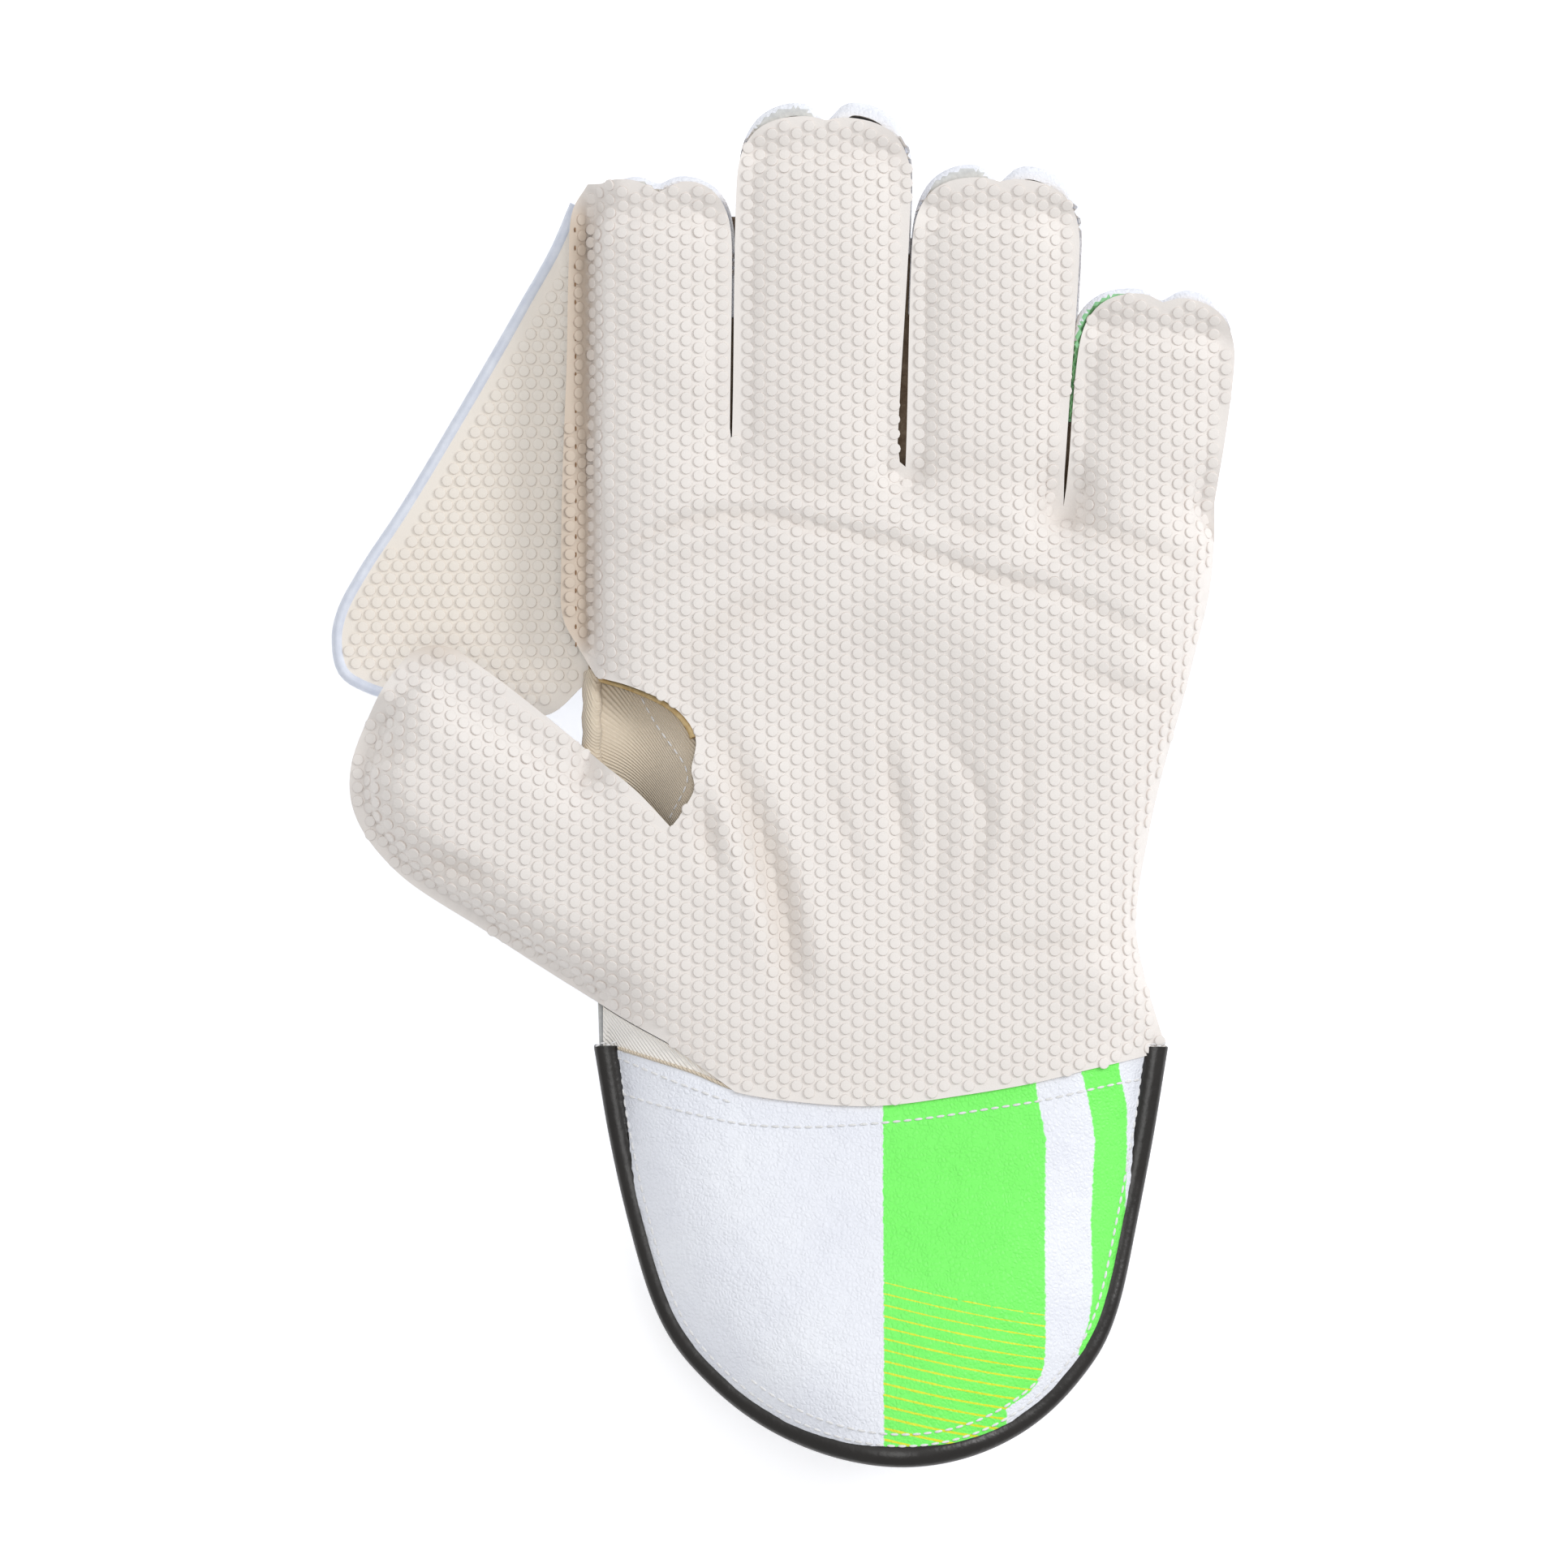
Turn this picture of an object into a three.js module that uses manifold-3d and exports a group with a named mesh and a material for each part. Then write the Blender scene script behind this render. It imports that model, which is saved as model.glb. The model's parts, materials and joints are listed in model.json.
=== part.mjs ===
import * as THREE from 'three';
import Module from 'manifold-3d';
import { mergeVertices } from 'three/addons/utils/BufferGeometryUtils.js';

const wasm = await Module();
wasm.setup();

// A left wicketkeeping glove as it lies: on its padded back, palm up, fingers along +Y and the
// thumb towards -X. Lengths are millimetres. The plan is drawn from the middle of the wrist seam
// and heights from the surface that the glove lies on. The last lines move it to its own origin.

// Hand, seen from the palm
const PALM_LENGTH = 150;
const PALM_WIDTH = 154.4;
const WRIST_WIDTH = 140.2;
const KNUCKLE_SHIFT = 4.9;
const WAIST_DENT = 7.5;
const MIDDLE_LENGTH = 82.9;
const MIDDLE_WIDTH = 41.4;
const TIP_ROUND = 20;
const TIP_POWER = 2.3;
const INDEX_CORNER_POWER = 6;
const TIP_FACETS = 5;
const TIP_LOBE = 3.7;
const THUMB_LENGTH = 105;
const THUMB_WIDTH = 53;
const THUMB_ANGLE = 32;
const THUMB_ROOT = { across: 0.216, up: 0.167 };
const THUMB_BLEND = { from: 0.49, run: 0.35 };
const THUMB_FLANGE = 5;
const SEAM_FLANGE = 0.8;
const INDEX_FLANGE = 7;
const WINDOW_HEIGHT = 37.5;
const WINDOW_DEPTH = 26.4;
const WINDOW_ABOVE_CROTCH = 24;
const HEM_DROP = 13.5;

// Heights and walls
const SEAM_HEIGHT = 26;
const FINGER_CURL = 8;
const CURL_FROM = 140;
const CURL_RUN = 90;
const THUMB_LIFT = 14;
const FINGER_THINNING = 6;
const THUMB_THINNING = 12;
const PALM_RISE = 11;
const EDGE_ROUND = 14;
const RUBBER_WALL = 2.6;
const EDGE_WALL = 2;
const SIDE_WALL = 2.4;
const BACK_PADDING = 8;
const BACK_POWER = 2.5;
const CLOTH_WALL = 1.6;
const PALM_CUP = 5;
const LINING_SAG = 6;
const LINING_MARGIN = 4;
const GAP = 0.3;
const SEAM_GAP = 0.5;

// Web between thumb and index finger
const WEB_HEIGHT = 126.6;
const WEB_WIDTH = 63.3;
const WEB_WALL = 3;
const WEB_DROOP = 3;
const BINDING_WIDTH = 2.3;

// Cuff
const CUFF_LENGTH = 101.3;
const CUFF_WIDTH = 143;
const CUFF_SHIFT = 5;
const CUFF_WALL = 3;
const CUFF_FLARE = 17;
const CUFF_BEND = 130;
const PIPING = 4.4;

// Spacing of the facets
const EDGE_STEP = 8.5;
const FIELD_STEP = 11;
const PIPING_STEPS = 38;
const PIPING_SIDES = 8;

// Little-finger side of the palm: height as a share of PALM_LENGTH, blend from the wrist's edge to
// the knuckles', and dent as a share of WAIST_DENT
const PALM_SIDE = [
  { up: 0, blend: 0, dent: 0 },
  { up: 0.13, blend: 0, dent: 0.75 },
  { up: 0.21, blend: 0, dent: 1 },
  { up: 0.37, blend: 0.3, dent: 1 },
  { up: 0.47, blend: 0.5, dent: 0.85 },
  { up: 0.57, blend: 0.7, dent: 0.6 },
  { up: 0.66, blend: 0.85, dent: 0.38 },
  { up: 0.76, blend: 0.98, dent: 0.12 },
  { up: 0.84, blend: 1, dent: 0 },
];

// Fingers: centre and slit to the left as shares of PALM_WIDTH, root and slit height as shares of
// PALM_LENGTH, width of MIDDLE_WIDTH, reach of MIDDLE_LENGTH, root width as a share of its own
// width, lean in degrees, notch in the rubber's tip as a share of TIP_LOBE
const FINGERS = [
  { name: 'index', centre: 0.111, root: 1, width: 0.83, reach: 0.78, waist: 0.98, lean: 0.3, notch: 1 },
  { name: 'middle', centre: 0.363, root: 0.98, width: 1, reach: 1, waist: 0.95, lean: 2, notch: 0.3 },
  { name: 'ring', centre: 0.631, root: 0.93, width: 0.96, reach: 0.91, waist: 0.95, lean: 2.6, notch: 0.3 },
  { name: 'little', centre: 0.882, root: 0.89, width: 0.9, reach: 0.64, waist: 0.95, lean: 6, notch: 0.4 },
];
const SLITS = [
  { across: 0.2275, up: 1 },
  { across: 0.4975, up: 0.965 },
  { across: 0.7615, up: 0.893 },
];

// Rubber flange along the index finger: down from its tip as a share of the way to the window, out
// from the finger's side as a share of INDEX_FLANGE
const FLANGE_EDGE = [
  { down: 0.005, out: 0.05 },
  { down: 0.06, out: 0.57 },
  { down: 0.17, out: 0.71 },
  { down: 0.37, out: 0.8 },
  { down: 0.6, out: 0.96 },
  { down: 0.78, out: 1 },
  { down: 0.88, out: 0.94 },
  { down: 0.95, out: 0.3 },
];

// Window in the rubber over the crotch of the thumb: share of WINDOW_DEPTH in from the index side,
// share of WINDOW_HEIGHT up from its foot
const WINDOW_EDGE = [
  { deep: 0.06, up: 1 },
  { deep: 0.41, up: 0.93 },
  { deep: 0.81, up: 0.79 },
  { deep: 1, up: 0.6 },
  { deep: 0.96, up: 0.38 },
  { deep: 0.99, up: 0.27 },
  { deep: 0.84, up: 0.07 },
];

// Thumb's rubber edge from the window round the tip to the heel: along and across as shares of
// THUMB_LENGTH and THUMB_WIDTH, and how far the leather behind lies inside it, of THUMB_FLANGE
const THUMB_EDGE = [
  { along: 0.258, across: 0.352, inset: 1 },
  { along: 0.37, across: 0.41, inset: 1 },
  { along: 0.487, across: 0.44, inset: 1 },
  { along: 0.66, across: 0.487, inset: 1 },
  { along: 0.82, across: 0.517, inset: 1 },
  { along: 0.924, across: 0.516, inset: 0.8 },
  { along: 0.98, across: 0.43, inset: 0.5 },
  { along: 1, across: 0.21, inset: 0.2 },
  { along: 0.97, across: -0.196, inset: 0.16 },
  { along: 0.9, across: -0.38, inset: 0.16 },
  { along: 0.75, across: -0.5, inset: 0.16 },
  { along: 0.495, across: -0.52, inset: 0.16 },
  { along: 0.303, across: -0.528, inset: 0.16 },
  { along: 0.122, across: -0.526, inset: 0.16 },
  { along: 0, across: -0.51, inset: 0.16 },
];

// Line where the cuff's front flap meets the hand: across as a share of half WRIST_WIDTH, down as a
// share of HEM_DROP
const WRIST_LINE = [
  { across: -0.93, down: 0.03 },
  { across: -0.666, down: 0.44 },
  { across: -0.52, down: 0.74 },
  { across: -0.29, down: 0.93 },
  { across: -0.02, down: 1 },
  { across: 0.28, down: 0.81 },
  { across: 0.54, down: 0.58 },
  { across: 0.72, down: 0.36 },
  { across: 0.93, down: 0.13 },
];
const HEM_START = -0.52;

// Web's free edge from the index tip round its lower corner to the palm: down as a share of
// WEB_HEIGHT, out as a share of WEB_WIDTH
const WEB_EDGE = [
  { down: 0, out: 0.055 },
  { down: 0.088, out: 0.133 },
  { down: 0.191, out: 0.253 },
  { down: 0.397, out: 0.496 },
  { down: 0.596, out: 0.736 },
  { down: 0.716, out: 0.894 },
  { down: 0.795, out: 0.978 },
  { down: 0.85, out: 1 },
  { down: 0.915, out: 0.973 },
  { down: 0.948, out: 0.869 },
  { down: 0.985, out: 0.55 },
  { down: 1, out: 0.169 },
  { down: 0.94, out: 0.02 },
];
const WEB_BOUND_ROWS = 11;

// Cuff: half width as a share of half CUFF_WIDTH at each share of CUFF_LENGTH
const CUFF_SIDE = [
  { down: 0, half: 1 },
  { down: 0.22, half: 0.948 },
  { down: 0.42, half: 0.888 },
  { down: 0.62, half: 0.811 },
  { down: 0.72, half: 0.744 },
  { down: 0.81, half: 0.64 },
  { down: 0.89, half: 0.51 },
  { down: 0.95, half: 0.357 },
  { down: 0.987, half: 0.186 },
  { down: 1, half: 0 },
];

// Folds of the palm rubber: depth, width and the ridge beside it in millimetres, and the route as
// shares of PALM_WIDTH across and PALM_LENGTH up
const FOLDS = [
  {
    name: 'thumb pad', depth: 4, width: 5, ridge: 3,
    route: [[-0.235, 0.414], [-0.196, 0.327], [-0.164, 0.234], [-0.132, 0.074]],
  },
  {
    name: 'window corner', depth: 3.5, width: 5, ridge: 0,
    route: [[-0.315, 0.354], [-0.267, 0.274]],
  },
  {
    name: 'knuckles', depth: 2.2, width: 4, ridge: 0,
    route: [[-0.44, 0.79], [-0.371, 0.854], [-0.267, 0.878], [-0.06, 0.854], [0.147, 0.794], [0.39, 0.69]],
  },
  {
    name: 'heel', depth: 1.6, width: 4, ridge: 0,
    route: [[-0.13, 0.167], [0.04, 0.157], [0.22, 0.174], [0.393, 0.194]],
  },
];
const CUP = { across: -0.01, up: 0.45, halfWidth: 0.26, halfLength: 0.34 };
const foldLines = FOLDS.map((fold) => ({
  ...fold,
  line: fold.route.map(([across, up]) => [across * PALM_WIDTH, up * PALM_LENGTH]),
}));

function clamp(value, low, high) {
  return Math.min(Math.max(value, low), high);
}

function mix(a, b, t) {
  return a + (b - a) * t;
}

function smooth(t) {
  const s = clamp(t, 0, 1);
  return s * s * (3 - 2 * s);
}

// Rounded rise from 0 at t = 0 to 1 at t = 1
function bulge(t, power) {
  return Math.pow(1 - Math.pow(1 - clamp(t, 0, 1), power), 1 / power);
}

// Points of a smooth curve through the given ones, about step apart
function curve(points, step) {
  const places = points.map(([x, y]) => new THREE.Vector3(x, y, 0));
  const path = new THREE.CatmullRomCurve3(places, false, 'centripetal');
  const count = Math.max(2, Math.round(path.getLength() / step));
  return path.getSpacedPoints(count).map((p) => [p.x, p.y]);
}

// Open line moved sideways, to its left where the distance is positive
function offset(line, distance) {
  return line.map((p, i) => {
    const before = line[Math.max(i - 1, 0)];
    const after = line[Math.min(i + 1, line.length - 1)];
    const length = Math.hypot(after[0] - before[0], after[1] - before[1]);
    const move = typeof distance === 'function' ? distance(i / (line.length - 1)) : distance;
    return [p[0] - (after[1] - before[1]) / length * move, p[1] + (after[0] - before[0]) / length * move];
  });
}

// Value of a table's column at a place along another of its columns
function lookUp(table, key, place, column) {
  const last = table.length - 1;
  let i = 0;
  while (i < last - 1 && table[i + 1][key] < place) i += 1;
  const t = clamp((place - table[i][key]) / (table[i + 1][key] - table[i][key]), 0, 1);
  return mix(table[i][column], table[i + 1][column], t);
}

function segmentDistance([x, y], [ax, ay], [bx, by]) {
  const dx = bx - ax;
  const dy = by - ay;
  const t = clamp(((x - ax) * dx + (y - ay) * dy) / (dx * dx + dy * dy || 1), 0, 1);
  return Math.hypot(x - ax - dx * t, y - ay - dy * t);
}

function lineDistance(point, line) {
  let best = Infinity;
  for (let i = 1; i < line.length; i += 1) {
    best = Math.min(best, segmentDistance(point, line[i - 1], line[i]));
  }
  return best;
}

function inside([x, y], outline) {
  let within = false;
  for (let i = 0, j = outline.length - 1; i < outline.length; j = i, i += 1) {
    const [ax, ay] = outline[i];
    const [bx, by] = outline[j];
    if ((ay > y) !== (by > y) && x < (bx - ax) * (y - ay) / (by - ay) + ax) within = !within;
  }
  return within;
}

// Plan of the hand
const palmLeft = KNUCKLE_SHIFT - PALM_WIDTH / 2;
const palmRight = KNUCKLE_SHIFT + PALM_WIDTH / 2;
const wristHalf = WRIST_WIDTH / 2;

function palmSide(grow) {
  const points = PALM_SIDE.map(({ up, blend, dent }) => (
    [mix(wristHalf, palmRight, blend) - dent * WAIST_DENT + grow, up * PALM_LENGTH]
  ));
  return curve(points, EDGE_STEP);
}

const fingers = FINGERS.map((row) => ({
  ...row,
  x: palmLeft + row.centre * PALM_WIDTH,
  y: row.root * PALM_LENGTH,
  half: row.width * MIDDLE_WIDTH / 2,
  length: row.reach * MIDDLE_LENGTH,
  angle: THREE.MathUtils.degToRad(row.lean),
}));

const slits = SLITS.map(({ across, up }) => [palmLeft + across * PALM_WIDTH, up * PALM_LENGTH]);

function onFinger(finger, across, along) {
  return [
    finger.x + across * Math.cos(finger.angle) + along * Math.sin(finger.angle),
    finger.y - across * Math.sin(finger.angle) + along * Math.cos(finger.angle),
  ];
}

// One finger's edge from its right root over the tip to its left root
function fingerEdge(finger, grow, extra, notch, leftPower) {
  const tipStart = finger.length - TIP_ROUND;
  const sideSteps = Math.max(2, Math.round(tipStart / EDGE_STEP));
  const halfEdge = (power) => {
    const points = [];
    for (let i = 0; i < sideSteps; i += 1) {
      const along = mix(TIP_ROUND * 0.2, tipStart, i / sideSteps);
      const taper = mix(finger.waist, 1, smooth(along / tipStart));
      points.push([finger.half * taper + grow, along]);
    }
    for (let i = 0; i <= TIP_FACETS; i += 1) {
      const turn = i / (TIP_FACETS + 0.6) * Math.PI / 2;
      points.push([
        (finger.half + grow) * Math.pow(Math.cos(turn), 2 / power),
        tipStart + (TIP_ROUND + extra) * Math.pow(Math.sin(turn), 2 / power),
      ]);
    }
    return points;
  };
  const right = halfEdge(TIP_POWER).map(([across, along]) => onFinger(finger, across, along));
  const left = halfEdge(leftPower).map(([across, along]) => onFinger(finger, -across, along)).reverse();
  return [...right, onFinger(finger, 0, finger.length + extra - notch), ...left];
}

function allFingers(grow, extra, notchDepth, indexPower) {
  const points = [];
  for (let i = fingers.length - 1; i >= 0; i -= 1) {
    const finger = fingers[i];
    points.push(...fingerEdge(finger, grow, extra, notchDepth(finger), i === 0 ? indexPower : TIP_POWER));
    if (i > 0) points.push([slits[i - 1][0], slits[i - 1][1] + grow]);
  }
  return points;
}

// The thumb runs from its root towards its tip along one axis, up across the other
const thumbAngle = THREE.MathUtils.degToRad(THUMB_ANGLE);
const thumbAlong = [-Math.cos(thumbAngle), Math.sin(thumbAngle)];
const thumbUp = [Math.sin(thumbAngle), Math.cos(thumbAngle)];
const thumbRoot = [palmLeft + THUMB_ROOT.across * PALM_WIDTH, THUMB_ROOT.up * PALM_LENGTH];

function onThumb(along, up) {
  return [
    thumbRoot[0] + along * thumbAlong[0] + up * thumbUp[0],
    thumbRoot[1] + along * thumbAlong[1] + up * thumbUp[1],
  ];
}

function thumbPlace([x, y]) {
  const dx = x - thumbRoot[0];
  const dy = y - thumbRoot[1];
  return { along: dx * thumbAlong[0] + dy * thumbAlong[1], up: dx * thumbUp[0] + dy * thumbUp[1] };
}

const thumbRubber = curve(
  THUMB_EDGE.map(({ along, across }) => onThumb(along * THUMB_LENGTH, across * THUMB_WIDTH)),
  EDGE_STEP * 0.7,
);
const thumbInset = THUMB_EDGE.map((row, i) => ({ at: i / (THUMB_EDGE.length - 1), inset: row.inset }));
const thumbLeather = offset(thumbRubber, (t) => THUMB_FLANGE * lookUp(thumbInset, 'at', t, 'inset'));

// Crotch, where the index side of the palm meets the thumb, and the corner over the wrist
const crotchIndex = thumbLeather.findIndex(([x]) => x < palmLeft);
const heelIndex = thumbLeather.findLastIndex(([x]) => x < -wristHalf + 1.5);
const crotch = [palmLeft, thumbLeather[crotchIndex][1] - 0.6 * (palmLeft - thumbLeather[crotchIndex][0])];
const wristRight = [wristHalf, 0];
const wristLeft = [-wristHalf, 0];

function bodyOutline(extra, notchDepth) {
  const indexRoot = [palmLeft, PALM_LENGTH];
  return [
    ...palmSide(0),
    ...allFingers(0, extra, notchDepth, TIP_POWER),
    ...curve([indexRoot, crotch], EDGE_STEP).slice(1),
    ...thumbLeather.slice(crotchIndex, heelIndex + 1),
    ...curve([wristLeft, wristRight], EDGE_STEP).slice(0, -1),
  ];
}

// Leather shell's outline, and the one that the palm's crown follows, which ends at the rubber tips
const leatherOutline = bodyOutline(TIP_LOBE, () => TIP_LOBE + 1);
const crownOutline = bodyOutline(0, () => 0);

// Same line with its wrist left open and run on below it, so that heights carry on into the cuff
function sideLine(outline) {
  const sides = outline.filter(([x, y]) => y > 0 || Math.abs(x) > wristHalf - 1);
  return [[wristHalf, -CUFF_LENGTH], ...sides, [-wristHalf, -CUFF_LENGTH]];
}
const leatherSides = sideLine(leatherOutline);
const crownSides = sideLine(crownOutline);

function depthInside(point, sides) {
  const distance = lineDistance(point, sides);
  return inside(point, sides) ? distance : -distance;
}

const indexTip = fingers[0].y + fingers[0].length;
const windowTop = crotch[1] + WINDOW_ABOVE_CROTCH;
const windowRow = ({ deep, up }) => [
  palmLeft + deep * WINDOW_DEPTH,
  windowTop - (1 - up) * WINDOW_HEIGHT,
];
const flangeRow = ({ down, out }) => [
  palmLeft - out * INDEX_FLANGE,
  indexTip - down * (indexTip - windowTop),
];
const wristPoint = ({ across, down }) => [across * wristHalf, -down * HEM_DROP];
const wristLine = curve(WRIST_LINE.map(wristPoint), EDGE_STEP * 1.4);
const hemLine = wristLine.filter(([x]) => x >= HEM_START * wristHalf);

// Rubber: fingers, flange, window, thumb and hem
const notchDepth = (finger) => finger.notch * TIP_LOBE;
const fingersRubber = allFingers(SEAM_FLANGE, 0, notchDepth, INDEX_CORNER_POWER);
const flangeStart = fingersRubber.findLastIndex(([, y]) => y > indexTip - 1) + 1;
const rubberOutline = [
  ...palmSide(SEAM_FLANGE),
  ...fingersRubber.slice(0, flangeStart),
  ...curve(FLANGE_EDGE.map(flangeRow), EDGE_STEP * 1.3),
  ...curve(WINDOW_EDGE.map(windowRow), EDGE_STEP * 0.7),
  ...thumbRubber,
  ...hemLine,
];

// Heights
function thumbShare(point) {
  const { along, up } = thumbPlace(point);
  const above = up / THUMB_WIDTH - THUMB_BLEND.from;
  return smooth(along / THUMB_LENGTH) * (1 - smooth(above / THUMB_BLEND.run));
}

function fingerSeam(y) {
  return SEAM_HEIGHT + FINGER_CURL * smooth((y - CURL_FROM) / CURL_RUN);
}

function seam(point) {
  return fingerSeam(point[1]) + THUMB_LIFT * thumbShare(point);
}

function cuffHalf(down) {
  return lookUp(CUFF_SIDE, 'down', down / CUFF_LENGTH, 'half') * CUFF_WIDTH / 2;
}

function cuffCentre(down) {
  return CUFF_SHIFT * clamp(down / CUFF_LENGTH, 0, 1) ** 3;
}

// Share of the way across a flap, 0 on its middle line and 1 at its edge beside the piping
function flapShare([x, y]) {
  const down = Math.max(-y, 0);
  const reach = Math.max(mix(cuffHalf(down) - PIPING, CUFF_WIDTH / 2, smooth(down / CUFF_LENGTH) * 0.3), 1);
  return clamp(Math.abs(x - cuffCentre(down)) / reach, 0, 1);
}

function flapBlend(y) {
  return smooth((EDGE_ROUND * 1.5 - y) / (EDGE_ROUND * 1.5));
}

// Front flap: an arch that grows flatter and rises towards its end
function flapTop(point) {
  const down = Math.max(-point[1], 0);
  const run = smooth(down / CUFF_LENGTH);
  const edgeDrop = mix(PALM_RISE, cuffHalf(0) ** 2 / (2 * CUFF_BEND), run);
  const crest = seam(point) + EDGE_WALL + PALM_RISE + CUFF_FLARE * run;
  return crest - edgeDrop * Math.pow(flapShare(point), mix(6, 2, run));
}

function foldRelief(point) {
  const share = [point[0] / PALM_WIDTH, point[1] / PALM_LENGTH];
  let relief = 0;
  for (const { depth, width, ridge, line } of foldLines) {
    const distance = lineDistance(point, line);
    relief -= depth * Math.exp(-((distance / width) ** 2));
    const beside = lineDistance([point[0] + width * 1.8, point[1]], line);
    relief += ridge * Math.exp(-((beside / width) ** 2));
  }
  const across = (share[0] - CUP.across) / CUP.halfWidth;
  const up = (share[1] - CUP.up) / CUP.halfLength;
  return relief - PALM_CUP * (1 - smooth(across ** 2 + up ** 2));
}

function palmTop(point) {
  const depth = depthInside(point, crownSides);
  const crown = seam(point) + EDGE_WALL + PALM_RISE * bulge(depth / EDGE_ROUND, 2);
  const hand = crown + foldRelief(point) * smooth(depth / EDGE_ROUND);
  return mix(hand, flapTop(point), flapBlend(point[1]));
}

function palmUnder(point) {
  const depth = depthInside(point, crownSides) - SIDE_WALL;
  const floor = seam(point) + SEAM_GAP / 2;
  const share = Math.max(bulge(depth / (EDGE_ROUND - SIDE_WALL), 2), flapBlend(point[1]));
  return Math.max(floor, mix(floor, palmTop(point) - RUBBER_WALL, depth > 0 ? share : 0));
}

// Back flap: lies on the surface and turns up at its sides
function flapUnder(point) {
  const down = Math.max(-point[1], 0);
  const run = smooth(down / CUFF_LENGTH);
  const edge = mix(seam(point) - SEAM_GAP / 2 - EDGE_WALL, (PIPING - CUFF_WALL) / 2, run);
  return Math.max(edge * Math.pow(flapShare(point), mix(6, 2.5, run)), 0);
}

function backDepth(point) {
  const curl = smooth((point[1] - CURL_FROM) / CURL_RUN);
  return SEAM_HEIGHT - FINGER_THINNING * curl - THUMB_THINNING * smooth(thumbShare(point) * 1.3);
}

function backUnder(point) {
  const depth = depthInside(point, leatherSides);
  const drop = mix(EDGE_WALL, backDepth(point), bulge(depth / EDGE_ROUND, BACK_POWER));
  const hand = Math.max(seam(point) - SEAM_GAP / 2 - drop, 0);
  return mix(hand, flapUnder(point), flapBlend(point[1]));
}

function backTop(point) {
  const depth = depthInside(point, leatherSides) - SIDE_WALL;
  const rim = seam(point) - SEAM_GAP / 2;
  const padding = mix(BACK_PADDING, CUFF_WALL, flapBlend(point[1]));
  const share = Math.max(bulge(depth / (EDGE_ROUND - SIDE_WALL), BACK_POWER), flapBlend(point[1]));
  return Math.min(rim, mix(rim, backUnder(point) + padding, depth > 0 ? share : 0));
}

// Plan triangulation: the outline is cut into ears, then the inner points go in one by one and
// edges are swapped until the facets are as even as they can be
function triangulate(outline, inner) {
  const points = [...outline];
  const opposite = new Map();
  const edge = (a, b) => a * 65536 + b;
  const add = (a, b, c) => {
    opposite.set(edge(a, b), c);
    opposite.set(edge(b, c), a);
    opposite.set(edge(c, a), b);
  };
  const remove = (a, b, c) => {
    opposite.delete(edge(a, b));
    opposite.delete(edge(b, c));
    opposite.delete(edge(c, a));
  };
  const area = (a, b, c) => (
    (points[b][0] - points[a][0]) * (points[c][1] - points[a][1])
    - (points[b][1] - points[a][1]) * (points[c][0] - points[a][0])
  );
  const circled = (a, b, c, d) => {
    const rows = [a, b, c].map((i) => {
      const x = points[i][0] - points[d][0];
      const y = points[i][1] - points[d][1];
      return [x, y, x * x + y * y];
    });
    const [p, q, r] = rows;
    return p[0] * (q[1] * r[2] - q[2] * r[1]) - p[1] * (q[0] * r[2] - q[2] * r[0])
      + p[2] * (q[0] * r[1] - q[1] * r[0]) > 1e-6;
  };
  const settle = (stack) => {
    while (stack.length > 0) {
      const [a, b] = stack.pop();
      const c = opposite.get(edge(a, b));
      const d = opposite.get(edge(b, a));
      if (c === undefined || d === undefined || !circled(a, b, c, d)) continue;
      if (area(a, d, c) <= 0 || area(d, b, c) <= 0) continue;
      remove(a, b, c);
      remove(b, a, d);
      add(a, d, c);
      add(d, b, c);
      stack.push([a, d], [d, b], [b, c], [c, a]);
    }
  };
  const left = outline.map((_, i) => i);
  const isEar = (a, b, c) => area(a, b, c) > 1e-6 && !left.some((i) => (
    i !== a && i !== b && i !== c && Math.min(area(a, b, i), area(b, c, i), area(c, a, i)) >= 0
  ));
  while (left.length > 2) {
    const count = left.length;
    const ear = left.findIndex((b, i) => isEar(left[(i + count - 1) % count], b, left[(i + 1) % count]));
    if (ear < 0) throw new Error('an outline crosses itself');
    const corners = [left[(ear + count - 1) % count], left[ear], left[(ear + 1) % count]];
    add(...corners);
    left.splice(ear, 1);
  }
  settle([...opposite.keys()].map((ab) => [Math.floor(ab / 65536), ab % 65536]));
  const triangles = () => {
    const list = [];
    for (const [ab, c] of opposite) {
      const a = Math.floor(ab / 65536);
      const b = ab % 65536;
      if (a < b && a < c) list.push([a, b, c]);
    }
    return list;
  };
  for (const point of inner) {
    const p = points.push(point) - 1;
    const home = triangles().find(([a, b, c]) => (
      Math.min(area(a, b, p), area(b, c, p), area(c, a, p)) > 1e-3
    ));
    if (!home) {
      points.pop();
      continue;
    }
    const [a, b, c] = home;
    remove(a, b, c);
    add(a, b, p);
    add(b, c, p);
    add(c, a, p);
    settle([[a, b], [b, c], [c, a]]);
  }
  return { points, triangles: triangles() };
}

// Closed wall over a plan outline, between an upper and a lower height
function sheet(outline, inner, upper, lower) {
  const { points, triangles } = triangulate(outline, inner);
  const count = points.length;
  const positions = [];
  for (const height of [upper, lower]) {
    for (const point of points) positions.push(point[0], point[1], height(point));
  }
  const index = [];
  for (const [a, b, c] of triangles) {
    index.push(a, b, c, count + a, count + c, count + b);
  }
  for (let i = 0; i < outline.length; i += 1) {
    const next = (i + 1) % outline.length;
    index.push(count + i, count + next, next, count + i, next, i);
  }
  const geometry = new THREE.BufferGeometry();
  geometry.setAttribute('position', new THREE.Float32BufferAttribute(positions, 3));
  geometry.setIndex(index);
  geometry.computeVertexNormals();
  return geometry;
}

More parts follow.
